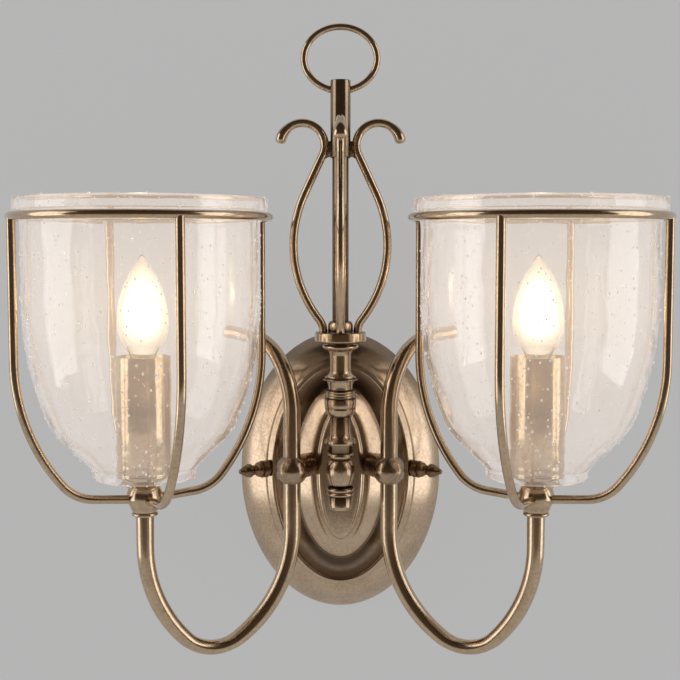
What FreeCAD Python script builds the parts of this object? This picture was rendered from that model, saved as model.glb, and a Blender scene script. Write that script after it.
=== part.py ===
"""Double arm wall sconce: a domed oval backplate, a turned column with a scrolled stem and loop,
and two swept arms, each carrying a wire cage that holds a lift-out glass bell over a candle lamp.

Frame: millimetres, +Z up, the wall is the plane Y = 0 and the lamp stands out towards -Y.
The origin is the middle of the backplate on the wall, and X = 0 is the plane of symmetry.
"""
import FreeCAD, Part
import math
import os

import Sketcher
from FreeCAD import Placement, Rotation, Vector

# ---------------------------------------------------------------- driving dimensions

SIZES = {
    # backplate: nested ovals, each drawn in from the rim and raised off the wall
    "plate_half_width": 67.0,
    "plate_half_height": 93.5,
    "plate_lip": 3.0,
    "plate_wall": 1.2,
    "band_bulge": 3.0,
    "shoulder_inset": 18.0,
    "shoulder_long_inset": 16.6,
    "shoulder_height": 20.6,
    "bead_height": 25.5,
    "terrace_inset": 40.2,
    "terrace_long_inset": 33.9,
    "terrace_foot_height": 26.8,
    "terrace_height": 31.5,
    "crown_inset": 52.4,
    "crown_long_inset": 50.5,
    "crown_height": 35.0,
    # wall bracket, its slots and its side studs
    "bracket_level": 4.0,
    "bracket_thickness": 2.0,
    "bracket_width": 28.0,
    "tab_length": 22.0,
    "tab_width": 14.0,
    "tab_setback": 12.0,
    "slot_spacing": 80.0,
    "slot_width": 4.8,
    "slot_length": 10.0,
    "cable_entry_radius": 5.0,
    "cable_entry_offset": 7.0,
    "terminal_offset": -18.0,
    "terminal_width": 16.0,
    "terminal_pole_pitch": 7.5,
    "terminal_depth": 12.0,
    "terminal_screw_radius": 1.8,
    "terminal_screw_depth": 5.0,
    "earth_screw_offset": 20.0,
    "earth_screw_radius": 2.0,
    "earth_head_radius": 3.8,
    "earth_head_height": 2.4,
    "stud_tilt_angle": 55.0,
    "stud_seat_x": 52.2,
    "stud_seat_depth": 23.4,
    "stud_radius": 1.95,
    "stud_reach": 8.0,
    "stud_head_radius": 3.6,
    "stud_head_height": 2.4,
    "washer_radius": 5.6,
    "finial_base_radius": 4.9,
    "finial_waist_radius": 2.9,
    "finial_bud_radius": 4.5,
    "finial_tip_radius": 1.2,
    "finial_length": 17.0,
    "running_clearance": 0.1,
    "fit_clearance": 0.05,
    # column: turned pieces on one upright axis in front of the backplate
    "column_distance": 52.0,
    "column_base_level": -17.0,
    "tie_rod_radius": 3.0,
    "end_cap_radius": 7.7,
    "end_cap_height": 9.3,
    "end_cap_round": 3.0,
    "lower_ring_radius": 8.55,
    "lower_ring_height": 5.8,
    "bulb_foot_radius": 6.4,
    "bulb_radius": 8.9,
    "bulb_top_radius": 5.9,
    "bulb_widest": 11.6,
    "bulb_height": 18.1,
    "bead_radius": 8.3,
    "bead_piece_height": 4.4,
    "step_radius": 8.0,
    "step_height": 4.5,
    "neck_flange_radius": 10.15,
    "neck_flange_height": 3.6,
    "neck_radius": 6.65,
    "neck_cove": 4.4,
    "neck_height": 14.4,
    "bulge_foot_radius": 7.0,
    "bulge_radius": 10.0,
    "bulge_line": 5.4,
    "bulge_height": 11.8,
    "ring_stack_radius": 9.6,
    "ring_stack_height": 5.1,
    "cup_waist_radius": 7.7,
    "cup_mouth_radius": 9.4,
    "cup_bead_radius": 11.1,
    "cup_bead_height": 1.3,
    "upper_cup_height": 7.6,
    "flare_radius": 10.0,
    "flare_height": 5.1,
    "upper_neck_radius": 6.6,
    "upper_neck_height": 8.9,
    "upper_cove": 4.7,
    "upper_flange_radius": 11.3,
    "upper_flange_height": 2.5,
    "disc_seat_radius": 9.0,
    "disc_seat_height": 1.6,
    "disc_radius": 16.25,
    "disc_height": 6.7,
    "disc_edge": 1.4,
    "standoff_radius": 6.0,
    "standoff_level": 9.0,
    "standoff_socket": 5.5,
    "standoff_screw_radius": 2.5,
    "standoff_head_radius": 4.6,
    "standoff_head_height": 3.2,
    # stem, sleeve, loop and scrolls
    "stem_collar_radius": 7.9,
    "stem_collar_height": 6.6,
    "stem_radius": 5.2,
    "stem_thread_depth": 10.0,
    "sleeve_level": 108.9,
    "sleeve_radius": 6.35,
    "sleeve_length": 47.4,
    "sleeve_recess": 2.4,
    "loop_half_width": 22.7,
    "loop_half_height": 19.5,
    "loop_wire_radius": 2.1,
    "loop_lift": 13.1,
    "scroll_wire_radius": 2.7,
    "scroll_foot_offset": 10.8,
    "scroll_foot_bend_radius": 12.0,
    "scroll_spread_angle": 38.0,
    "scroll_bow_radius": 76.0,
    "scroll_return_angle": 25.0,
    "scroll_straight": 26.5,
    "scroll_curl_radius": 13.9,
    "scroll_curl_angle": 190.0,
    # arms: a ball on a splayed spacer, a tube down and round to the shade, a crook above
    "arm_ball_x": 30.9,
    "arm_ball_distance": 50.0,
    "arm_ball_level": 8.5,
    "arm_ball_radius": 10.15,
    "arm_tube_radius": 5.5,
    "arm_tube_wall": 1.0,
    "arm_azimuth_angle": 65.0,
    "arm_clearance": 26.0,
    "arm_straight": 37.8,
    "arm_inner_bend_radius": 77.8,
    "arm_inner_angle": 57.8,
    "arm_outer_bend_radius": 85.3,
    "arm_outer_angle": 44.8,
    "crook_azimuth_angle": 120.0,
    "crook_straight": 37.5,
    "crook_lower_radius": 60.6,
    "crook_lower_angle": 35.7,
    "crook_upper_radius": 30.0,
    "crook_upper_angle": 48.3,
    "crook_tip_length": 16.5,
    "crook_cap": 2.0,
    "spacer_splay_angle": 25.0,
    "spacer_radius": 7.8,
    "wire_way_radius": 2.6,
    "nipple_radius": 4.0,
    "nipple_entry": 4.5,
    "wedge_radius": 6.6,
    "wedge_reach": 26.0,
    "nipple_nut_flats": 11.0,
    "nipple_nut_height": 3.2,
    # shade seat: a stack on the outer end of each arm
    "shade_ball_level": 1.1,
    "shade_ball_radius": 10.8,
    "shade_ball_flat": 7.6,
    "shade_neck_radius": 7.6,
    "shade_neck_drop": 10.5,
    "arm_flange_radius": 8.1,
    "arm_flange_height": 2.4,
    "arm_entry": 4.6,
    "lamp_nipple_radius": 5.0,
    "lamp_nipple_entry": 4.0,
    "lamp_nipple_reach": 12.0,
    "lamp_nut_flats": 14.0,
    "lamp_nut_height": 3.0,
    "cup_foot_radius": 8.6,
    "cup_radius": 16.2,
    "cup_rise": 2.6,
    "cup_floor": 3.4,
    "cup_height": 7.9,
    "candle_radius": 16.6,
    "candle_wall": 1.2,
    "candle_height": 68.5,
    # lampholder and bulb
    "holder_foot_radius": 8.4,
    "holder_radius": 13.0,
    "holder_shoulder": 24.0,
    "holder_height": 62.5,
    "bulb_cap_radius": 6.9,
    "bulb_cap_clearance": 0.3,
    "bulb_cap_length": 21.0,
    "bulb_seat_gap": 0.3,
    "bulb_neck_radius": 7.2,
    "bulb_neck_length": 3.0,
    "bulb_flare_radius": 14.0,
    "bulb_flare_angle": 50.0,
    "bulb_glass_radius": 15.6,
    "bulb_glass_length": 68.5,
    "bulb_glass_wall": 0.8,
    "bulb_tip_radius": 0.9,
    "bulb_tip_height": 0.6,
    "bulb_post_radius": 3.0,
    "bulb_core_radius": 13.3,
    "bulb_core_level": 8.5,
    "bulb_core_widest": 26.0,
    "bulb_core_height": 55.0,
    # cage
    "cage_clearance": 1.0,
    "cage_ring_level": 168.0,
    "cage_ring_wire_radius": 2.55,
    "cage_rod_radius": 2.7,
    "cage_foot_start": 7.0,
    "cage_foot_drop": 5.5,
    "cage_foot_angle": 12.0,
    "cage_foot_length": 39.8,
    "cage_knee_radius": 18.0,
    "cage_knee_angle": 50.0,
    "cage_rod_cope": 1.3,
    # glass bell
    "glass_wall": 2.5,
    "glass_seat_gap": 0.3,
    "glass_body_radius": 70.5,
    "glass_lip_flare": 4.5,
    "glass_top_level": 179.2,
    "glass_bottom_level": 12.0,
    "glass_collar_radius": 30.7,
    "glass_collar_height": 4.0,
    "glass_collar_bend": 2.5,
    "glass_cone_angle": 45.0,
    "glass_cone_radius": 48.6,
    "glass_hip_bend": 36.0,
    "glass_hip_angle": 68.0,
}

doc = FreeCAD.newDocument("double_arm_wall_sconce")
sheet = doc.addObject("Spreadsheet::Sheet", "dims")
for row, (alias, amount) in enumerate(SIZES.items(), start=1):
    sheet.set(f"A{row}", alias)
    sheet.set(f"B{row}", str(amount))
    sheet.setAlias(f"B{row}", alias)
doc.recompute()


class Size:
    """A length or angle that knows both its number and its formula in terms of the sheet."""

    def __init__(self, value, text):
        self.value = value
        self.text = text

    def __add__(self, other):
        other = as_size(other)
        return Size(self.value + other.value, f"({self.text} + {other.text})")

    def __sub__(self, other):
        other = as_size(other)
        return Size(self.value - other.value, f"({self.text} - {other.text})")

    def __mul__(self, other):
        other = as_size(other)
        return Size(self.value * other.value, f"({self.text} * {other.text})")

    def __truediv__(self, other):
        other = as_size(other)
        return Size(self.value / other.value, f"({self.text} / {other.text})")

    def __neg__(self):
        return Size(-self.value, f"(-1 * {self.text})")

    def __radd__(self, other):
        return as_size(other) + self

    def __rsub__(self, other):
        return as_size(other) - self

    def __rmul__(self, other):
        return as_size(other) * self


def as_size(amount):
    if isinstance(amount, Size):
        return amount
    return Size(float(amount), f"({float(amount)!r})")


def sine(angle):
    return Size(math.sin(math.radians(angle.value)), f"sin({angle.text})")


def cosine(angle):
    return Size(math.cos(math.radians(angle.value)), f"cos({angle.text})")


def tangent(angle):
    return Size(math.tan(math.radians(angle.value)), f"tan({angle.text})")


def root(size):
    return Size(math.sqrt(size.value), f"sqrt({size.text})")


class Dimensions:
    """The sheet's cells as Size objects: d.candle_radius and so on."""

    def __getattr__(self, alias):
        return Size(float(sheet.get(alias)), f"dims.{alias}")


d = Dimensions()
nodes = {}
pairs = {}

# ---------------------------------------------------------------- helpers


def bind(thing, prop, size):
    """Tie a property to its formula in the sheet."""
    thing.setExpression(prop, as_size(size).text)


def place(thing, x=0.0, y=0.0, z=0.0, axis=None, angle=None):
    """Put a piece at x, y, z and, if asked, turn it about an axis through that point."""
    x, y, z = as_size(x), as_size(y), as_size(z)
    turn = Rotation() if axis is None else Rotation(axis, as_size(angle).value)
    thing.Placement = Placement(Vector(x.value, y.value, z.value), turn)
    bind(thing, "Placement.Base.x", x)
    bind(thing, "Placement.Base.y", y)
    bind(thing, "Placement.Base.z", z)
    if axis is not None:
        bind(thing, "Placement.Rotation.Angle", angle)
    return thing


def keep(label, thing):
    """Register a finished sub-part under the name of its file."""
    thing.Label = label
    nodes[label] = thing
    return thing


def pair(label, thing):
    """Collect the left and right copies of a small piece, which share one node."""
    pairs.setdefault(label, []).append(thing)
    return thing


def primitive(kind, name, **sizes):
    thing = doc.addObject(kind, name)
    for prop, size in sizes.items():
        bind(thing, prop, size)
    return thing


def cylinder(name, radius, height):
    return primitive("Part::Cylinder", name, Radius=radius, Height=height)


def sphere(name, radius):
    return primitive("Part::Sphere", name, Radius=radius)


def box(name, length, width, height):
    return primitive("Part::Box", name, Length=length, Width=width, Height=height)


def hexagon_bar(name, flats, height):
    bar = doc.addObject("Part::Prism", name)
    bar.Polygon = 6
    bind(bar, "Circumradius", flats / math.sqrt(3.0))
    bind(bar, "Height", height)
    return bar


def cut(name, base, tool):
    result = doc.addObject("Part::Cut", name)
    result.Base = base
    result.Tool = tool
    return result


def fuse(name, pieces):
    result = doc.addObject("Part::MultiFuse", name)
    result.Shapes = pieces
    return result


def group(name, pieces):
    """Separate solids that share one node."""
    result = doc.addObject("Part::Compound", name)
    result.Links = pieces
    return result


def arc_middle(start, end, radius):
    """Middle of the arc from start to end; a positive radius turns left on the way."""
    chord = end - start
    half = chord.Length / 2.0
    rise = abs(radius) - math.sqrt(max(radius * radius - half * half, 0.0))
    right = Vector(chord.y, -chord.x, 0).normalize()
    side = 1.0 if radius > 0 else -1.0
    return (start + end) * 0.5 + right * (side * rise)


def draw_outline(sketch, outline, closed):
    """Draw an outline of (radius, level[, bend]) corners, each tied to the sheet.

    A corner's bend is the radius of the arc that leaves it: positive turns left, negative right.
    """
    corners = [(as_size(c[0]), as_size(c[1]), c[2] if len(c) > 2 else None) for c in outline]
    count = len(corners) if closed else len(corners) - 1
    points = [Vector(across.value, up.value, 0) for across, up, bend in corners]
    starts, ends = [], []
    for index in range(count):
        start, end = points[index], points[(index + 1) % len(points)]
        bend = corners[index][2]
        if bend is None:
            edge = sketch.addGeometry(Part.LineSegment(start, end), False)
            starts.append((edge, 1))
            ends.append((edge, 2))
            continue
        edge = sketch.addGeometry(Part.Arc(start, arc_middle(start, end, bend.value), end), False)
        forward = (sketch.getPoint(edge, 1) - start).Length < (sketch.getPoint(edge, 2) - start).Length
        starts.append((edge, 1 if forward else 2))
        ends.append((edge, 2 if forward else 1))
        number = sketch.addConstraint(Sketcher.Constraint("Radius", edge, abs(bend.value)))
        size = bend if bend.value > 0 else -bend
        sketch.setExpression(f"Constraints[{number}]", size.text)
    for index in range(1, count):
        sketch.addConstraint(Sketcher.Constraint("Coincident", *ends[index - 1], *starts[index]))
    if closed:
        sketch.addConstraint(Sketcher.Constraint("Coincident", *ends[-1], *starts[0]))
    for index, (across, up, bend) in enumerate(corners):
        anchor = starts[index] if index < count else ends[index - 1]
        for kind, size, axis in (("DistanceX", across, -2), ("DistanceY", up, -1)):
            if abs(size.value) < 1e-9:
                sketch.addConstraint(Sketcher.Constraint("PointOnObject", *anchor, axis))
                continue
            number = sketch.addConstraint(Sketcher.Constraint(kind, -1, 1, *anchor, size.value))
            sketch.setExpression(f"Constraints[{number}]", size.text)


def turned(label, outline, x=0.0, y=0.0, z=0.0, axis=None, angle=None):
    """A lathe-turned piece: a closed outline turned about its own Z axis, base at level 0."""
    body = doc.addObject("PartDesign::Body", label)
    sketch = body.newObject("Sketcher::SketchObject", f"{label}_outline")
    plane = next(f for f in body.Origin.OriginFeatures if f.Role == "XZ_Plane")
    sketch.AttachmentSupport = [(plane, "")]
    sketch.MapMode = "FlatFace"
    draw_outline(sketch, outline, True)
    turning = body.newObject("PartDesign::Revolution", f"{label}_turning")
    turning.Profile = sketch
    turning.ReferenceAxis = (sketch, ["V_Axis"])
    turning.Angle = 360.0
    body.Tip = turning
    return place(body, x, y, z, axis, angle)


class Route:
    """A flat path of tangent runs and bends, drawn in a plane of outward and upward directions."""

    def __init__(self, out, up, heading):
        self.out = out
        self.up = up
        self.heading = math.radians(heading)
        self.edges = []

    def point(self, out, up):
        return Vector(out, 0, up)

    def run(self, length):
        start = self.point(self.out, self.up)
        self.out += length * math.sin(self.heading)
        self.up += length * math.cos(self.heading)
        self.edges.append(Part.LineSegment(start, self.point(self.out, self.up)).toShape())
        return self

    def bend(self, radius, turn):
        """Turn by an angle in degrees: positive turns outwards, away from straight up."""
        side = 1.0 if turn > 0 else -1.0
        centre_out = self.out + side * radius * math.cos(self.heading)
        centre_up = self.up - side * radius * math.sin(self.heading)
        stations = [self.point(self.out, self.up)]
        for share in (0.5, 1.0):
            heading = self.heading + math.radians(turn) * share
            self.out = centre_out - side * radius * math.cos(heading)
            self.up = centre_up + side * radius * math.sin(heading)
            stations.append(self.point(self.out, self.up))
        self.heading += math.radians(turn)
        self.edges.append(Part.Arc(*stations).toShape())
        return self

    def wire(self):
        return Part.Wire(self.edges)


def in_plane(wire, azimuth, side):
    """Turn a route's plane from +X to a bearing measured from -Y towards the given side."""
    turned_wire = wire.copy()
    turned_wire.rotate(Vector(), Vector(0, 0, 1), side * azimuth - 90.0)
    return turned_wire


def wire_bar(name, wire, radius):
    """A round bar that follows a wire."""
    spine = doc.addObject("Part::Feature", f"{name}_route")
    spine.Shape = wire
    section = primitive("Part::Circle", f"{name}_section", Radius=radius)
    first = wire.OrderedEdges[0]
    start = first.valueAt(first.FirstParameter)
    along = first.tangentAt(first.FirstParameter)
    if (start - wire.OrderedVertexes[0].Point).Length > 1e-6:
        start, along = first.valueAt(first.LastParameter), first.tangentAt(first.LastParameter) * -1
    section.Placement = Placement(start, Rotation(Vector(0, 0, 1), along))
    bar = doc.addObject("Part::Sweep", name)
    bar.Sections = [section]
    bar.Spine = (spine, [f"Edge{number + 1}" for number in range(len(wire.Edges))])
    bar.Solid = True
    bar.Frenet = False
    return bar


def aim(thing, start, direction):
    """Stand a piece that was made along +Z at a point, so that it points in a direction."""
    place(thing, *start)
    thing.Placement.Rotation = Rotation(Vector(0, 0, 1), direction)
    return thing


def on_bearing(azimuth, side, distance):
    """Plan position at a distance along a bearing measured from -Y towards the given side."""
    return sine(azimuth) * distance * side, -(cosine(azimuth) * distance)


def beads(outer, low, high, count=1):
    """Corners of half-round beads stacked between two levels, their crests at the outer radius."""
    tall = (high - low) / count
    inset = tall * BEAD_CREST
    corners = [(outer - inset, low + tall * number, tall * BEAD_ROUND) for number in range(count)]
    return corners + [(outer - inset, high)]


def swell(across, along):
    """Radius of the arc that runs off an upright tangent by `across` within `along`."""
    return (across * across + along * along) / (across * 2.0)


def walled(outer, wall):
    """Close an open outline of (radius, level, lean, corner, bend) with its wall's inner face.

    lean is the outward normal's angle above the horizontal, corner half the turn at a sharp corner.
    """
    outline = [(across, up, bend) if bend else (across, up) for across, up, lean, corner, bend in outer]
    for index in range(len(outer) - 1, -1, -1):
        across, up, lean, corner, bend = outer[index]
        reach = wall / cosine(corner)
        before = outer[index - 1][4] if index > 0 else None
        point = (across - reach * cosine(lean), up - reach * sine(lean))
        outline.append(point + ((-(before - wall)),) if before else point)
    return outline


BEAD_ROUND = 0.55
BEAD_CREST = BEAD_ROUND - math.sqrt(BEAD_ROUND**2 - 0.25)
FLAT_TO_CORNER = 1.0 / math.sqrt(3.0)
LOOP_OPENING = 6.0
LEFT, RIGHT = -1, 1
OUTWARD = Vector(0, -1, 0)
none = as_size(0.0)

# ---------------------------------------------------------------- backplate


def oval_levels(skin):
    """Ovals of the backplate from the wall outwards, as half width, half height and level.

    skin draws every oval in and lowers it, for the inner face of the sheet.
    """
    rise = d.shoulder_height - d.plate_lip
    chord = root(d.shoulder_inset * d.shoulder_inset + rise * rise)
    levels = [(none, none, -skin), (none, none, d.plate_lip - skin * 0.2)]
    band_steps = 5
    for step in range(1, band_steps + 1):
        share = step / band_steps
        bulge = d.band_bulge * (4.0 * share * (1.0 - share)) / chord
        across = d.shoulder_inset * share - bulge * rise
        along = d.shoulder_long_inset * share - bulge * rise
        levels.append((across, along, d.plate_lip + rise * share + bulge * d.shoulder_inset - skin * share))
    bead_foot, bead_top = d.shoulder_height - skin, d.bead_height - skin
    for inset, level in ((1.8, bead_top - 1.6), (2.6, bead_top - 0.4), (3.6, bead_top), (4.8, bead_top - 0.4),
                         (5.6, bead_top - 1.2)):
        levels.append((d.shoulder_inset + inset, d.shoulder_long_inset + inset, level))
    foot, terrace, crown = d.terrace_foot_height - skin, d.terrace_height - skin, d.crown_height - skin
    for inset, level in ((-1.8, foot), (-1.0, foot + 0.8), (0.0, terrace - 0.9), (1.0, terrace)):
        levels.append((d.terrace_inset + inset, d.terrace_long_inset + inset, level))
    for inset, level in ((-1.0, terrace + 0.3), (0.0, crown - 0.9), (1.0, crown)):
        levels.append((d.crown_inset + inset, d.crown_long_inset + inset, level))
    half_width, half_height = d.plate_half_width - skin, d.plate_half_height - skin
    return [(half_width - across, half_height - along, level) for across, along, level in levels]


def oval_dome(name, skin):
    ovals = []
    for number, (half_width, half_height, level) in enumerate(oval_levels(skin)):
        oval = primitive("Part::Ellipse", f"{name}_oval_{number}",
                         MajorRadius=half_height, MinorRadius=half_width)
        place(oval, 0.0, -level, 0.0)
        oval.Placement.Rotation = Rotation(Vector(0, 0, 1), Vector(1, 0, 0), OUTWARD)
        ovals.append(oval)
    dome = doc.addObject("Part::Loft", name)
    dome.Sections = ovals
    dome.Solid = True
    dome.Ruled = True
    return dome


stud_axis = {side: Vector(side * math.sin(math.radians(d.stud_tilt_angle.value)),
                          -math.cos(math.radians(d.stud_tilt_angle.value)), 0) for side in (LEFT, RIGHT)}


def along_stud(side, reach):
    """A point on a side stud's axis, measured outwards from where the washer carries the nut."""
    across, depth = on_bearing(d.stud_tilt_angle, side, reach)
    return d.stud_seat_x * side + across, depth - d.stud_seat_depth, d.bracket_level


def stud_bar(name, side, radius, start, length):
    return aim(cylinder(name, radius, length), along_stud(side, start), stud_axis[side])


def spacer_axis(side):
    splay = math.radians(d.spacer_splay_angle.value)
    return Vector(-side * math.sin(splay), math.cos(splay), 0)


def along_spacer(side, reach):
    """A point on an arm's spacer axis, measured from the middle of the arm ball to the wall."""
    across, depth = on_bearing(d.spacer_splay_angle, -side, reach)
    return d.arm_ball_x * side + across, -d.arm_ball_distance - depth, d.arm_ball_level


def spacer_bar(name, side, radius, start, length):
    return aim(cylinder(name, radius, length), along_spacer(side, start), spacer_axis(side))


def ball_tool(side):
    return place(sphere("ball_clear", d.arm_ball_radius), d.arm_ball_x * side, -d.arm_ball_distance,
                 d.arm_ball_level)


def level_bar(name, radius, x, y, z, length):
    """A round bar along +Y."""
    return place(cylinder(name, radius, length), x, y, z, Vector(1, 0, 0), as_size(-90.0))


outer_dome = oval_dome("outer_dome", none)
inner_dome = oval_dome("inner_dome", d.plate_wall)
standoff_end = d.column_distance - d.standoff_socket
screw_hole = level_bar("standoff_screw_hole", d.standoff_screw_radius + d.fit_clearance, 0.0,
                       -d.crown_height - 1.0, d.standoff_level, d.plate_wall + 2.0)
plate_holes = [screw_hole]
for side in (LEFT, RIGHT):
    plate_holes.append(stud_bar("stud_hole", side, d.stud_radius + d.running_clearance,
                                -d.tab_setback + 3.0, d.tab_setback))
    plate_holes.append(spacer_bar("nipple_hole", side, d.nipple_radius + d.fit_clearance,
                                  d.arm_ball_radius, d.wedge_reach))
plate_shell = cut("plate_shell", outer_dome, inner_dome)
keep("backplate", cut("backplate_drilled", plate_shell, fuse("plate_openings", plate_holes)))

# ---------------------------------------------------------------- wall bracket

tilt = math.radians(d.stud_tilt_angle.value)
bracket_half = (d.stud_seat_x - sine(d.stud_tilt_angle) * d.tab_setback
                + (d.stud_seat_depth - cosine(d.stud_tilt_angle) * d.tab_setback) / tangent(d.stud_tilt_angle))
strip = place(box("strip", bracket_half * 2.0, d.bracket_thickness, d.bracket_width), -bracket_half,
              -d.bracket_thickness, d.bracket_level - d.bracket_width / 2.0)
bracket_solids = [strip]
for side in (LEFT, RIGHT):
    tab = box("tab", d.tab_width, d.tab_length * 2.0, d.bracket_thickness)
    across, depth, level = along_stud(side, -d.tab_setback)
    tab.Placement = Placement(Vector(across.value, depth.value, level.value),
                              Rotation(Vector(0, 0, 1), Vector(side * math.cos(tilt), math.sin(tilt), 0),
                                       stud_axis[side], "ZYX"))
    middle = Placement(Vector(-d.tab_width.value / 2.0, 0, 0), Rotation())
    reach = Placement(Vector(0, -6.0, 0), Rotation())
    tab.Placement = tab.Placement * middle * reach
    bracket_solids.append(tab)
bracket_body = fuse("bracket_body", bracket_solids)
wall_side = place(box("wall_side", bracket_half * 3.0, d.tab_length * 2.0, d.bracket_width * 2.0),
                  -bracket_half * 1.5, 0.0, d.bracket_level - d.bracket_width)
bracket_holes = [wall_side]
for side in (LEFT, RIGHT):
    half_run = (d.slot_length - d.slot_width) / 2.0
    for end in (-1, 1):
        bracket_holes.append(level_bar(
            "slot_end", d.slot_width / 2.0, d.slot_spacing / 2.0 * side + half_run * end,
            -d.bracket_thickness - 1.0, d.bracket_level, d.bracket_thickness + 2.0))
    bracket_holes.append(place(box("slot_run", half_run * 2.0, d.bracket_thickness + 2.0, d.slot_width),
                               d.slot_spacing / 2.0 * side - half_run, -d.bracket_thickness - 1.0,
                               d.bracket_level - d.slot_width / 2.0))
    bracket_holes.append(stud_bar("tab_hole", side, d.stud_radius + d.fit_clearance,
                                  -d.tab_setback - 1.0, d.bracket_thickness + 2.0))
for offset, radius in ((d.cable_entry_offset, d.cable_entry_radius),
                       (d.earth_screw_offset, d.earth_screw_radius + d.fit_clearance)):
    bracket_holes.append(level_bar("strip_hole", radius, offset, -d.bracket_thickness - 1.0,
                                   d.bracket_level, d.bracket_thickness + 2.0))
keep("wall_bracket", cut("bracket_drilled", bracket_body, fuse("bracket_openings", bracket_holes)))

poles = 3
terminal_length = d.terminal_pole_pitch * poles
terminal_body = place(box("terminal_body", d.terminal_width, d.terminal_depth, terminal_length),
                      d.terminal_offset - d.terminal_width / 2.0, -d.bracket_thickness - d.terminal_depth,
                      d.bracket_level - terminal_length / 2.0)
screw_bores, screws = [], []
for pole in range(poles):
    level = d.bracket_level + d.terminal_pole_pitch * (pole - (poles - 1) / 2.0)
    for end in (-1, 1):
        x = d.terminal_offset + d.terminal_width / 4.0 * end
        y = -d.bracket_thickness - d.terminal_depth
        screw_bores.append(level_bar("terminal_bore", d.terminal_screw_radius + d.fit_clearance, x, y - 1.0,
                                     level, d.terminal_screw_depth + 1.0))
        screws.append(level_bar("terminal_screw", d.terminal_screw_radius, x, y + 1.0, level,
                                d.terminal_screw_depth - 1.0))
keep("terminal_block", cut("terminal_drilled", terminal_body, fuse("terminal_bores", screw_bores)))
keep("terminal_screws", group("terminal_screw_set", screws))
earth_head = level_bar("earth_head", d.earth_head_radius, d.earth_screw_offset,
                       -d.bracket_thickness - d.earth_head_height, d.bracket_level, d.earth_head_height)
earth_shank = level_bar("earth_shank", d.earth_screw_radius, d.earth_screw_offset,
                        -d.bracket_thickness - d.earth_head_height, d.bracket_level,
                        d.earth_head_height + d.bracket_thickness - 0.2)
keep("earth_screw", fuse("earth_screw_solid", [earth_head, earth_shank]))

studs = []
for side in (LEFT, RIGHT):
    back = -d.tab_setback - d.stud_head_height
    head = stud_bar("stud_head", side, d.stud_head_radius, back, d.stud_head_height)
    shank = stud_bar("stud_shank", side, d.stud_radius, back,
                     d.stud_head_height + d.tab_setback + d.stud_reach)
    studs.append(fuse("side_stud", [head, shank]))
keep("side_studs", group("side_stud_pair", studs))

bud = d.finial_length - 6.0
finial_outline = [
    (d.stud_radius + d.running_clearance, none), (d.finial_base_radius, none),
    (d.finial_base_radius, as_size(1.6)), (d.finial_waist_radius, as_size(3.2), as_size(-3.2)),
    (d.finial_waist_radius + 0.3, as_size(5.0)),
    (d.finial_bud_radius, as_size(8.6), swell(d.finial_bud_radius - d.finial_tip_radius, d.finial_length - 9.6)),
    (d.finial_tip_radius, d.finial_length - 1.0), (none, d.finial_length),
    (none, d.stud_reach + 1.0), (d.stud_radius + d.running_clearance, d.stud_reach + 1.0),
]
for side, name in ((LEFT, "left"), (RIGHT, "right")):
    disc = stud_bar("washer_disc", side, d.washer_radius, -5.0, as_size(5.0))
    bore = stud_bar("washer_bore", side, d.stud_radius + d.running_clearance, -6.0, as_size(7.0))
    pair("saddle_washers", cut("washer", cut("washer_ring", disc, bore), outer_dome))
    nut = turned(f"{name}_finial_nut", finial_outline)
    keep(f"{name}_finial_nut", aim(nut, along_stud(side, d.running_clearance), stud_axis[side]))

# ---------------------------------------------------------------- column

rod_bore = d.tie_rod_radius + d.fit_clearance
column_y = -d.column_distance


def stack(label, outline, level):
    return keep(label, turned(label, outline, 0.0, column_y, level))


level = d.column_base_level
thread = d.end_cap_height * 0.6
stack("column_end_cap", [
    (none, none), (d.end_cap_radius - d.end_cap_round, none, d.end_cap_round),
    (d.end_cap_radius, d.end_cap_round), (d.end_cap_radius, d.end_cap_height), (rod_bore, d.end_cap_height),
    (rod_bore, d.end_cap_height - thread), (none, d.end_cap_height - thread)], level)
rod_foot = level + d.end_cap_height - thread + 0.5
level = level + d.end_cap_height
stack("column_lower_rings", [(rod_bore, none)] + beads(d.lower_ring_radius, none, d.lower_ring_height, 2)
      + [(rod_bore, d.lower_ring_height)], level)
level = level + d.lower_ring_height
bulb_level = level
bulb_rise = d.bulb_height - d.bulb_widest
bulb_turned = turned("bulb_turned", [
    (rod_bore, none), (d.bulb_foot_radius, none, swell(d.bulb_radius - d.bulb_foot_radius, d.bulb_widest)),
    (d.bulb_radius, d.bulb_widest, swell(d.bulb_radius - d.bulb_top_radius, bulb_rise)),
    (d.bulb_top_radius, d.bulb_height), (rod_bore, d.bulb_height)], 0.0, column_y, level)
socket = level_bar("standoff_socket", d.standoff_radius + d.fit_clearance, 0.0, column_y + d.standoff_socket,
                   d.standoff_level, d.bulb_radius)
screw_thread = level_bar("standoff_thread", d.standoff_screw_radius + d.fit_clearance, 0.0,
                         column_y, d.standoff_level, d.bulb_radius)
keep("column_bulb", cut("bulb_bored", bulb_turned, fuse("bulb_openings", [socket, screw_thread])))
level = level + d.bulb_height
stack("column_bead", [(rod_bore, none), (d.step_radius - 1.0, none), (d.step_radius - 1.0, as_size(0.5))]
      + beads(d.bead_radius, as_size(0.5), d.bead_piece_height - 0.5)
      + [(d.step_radius - 1.0, d.bead_piece_height - 0.5), (d.step_radius - 1.0, d.bead_piece_height),
         (rod_bore, d.bead_piece_height)], level)
level = level + d.bead_piece_height
flange_top = d.step_height + d.neck_flange_height
neck_start = flange_top + d.neck_cove
neck_foot = d.neck_radius + 2.0
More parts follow.
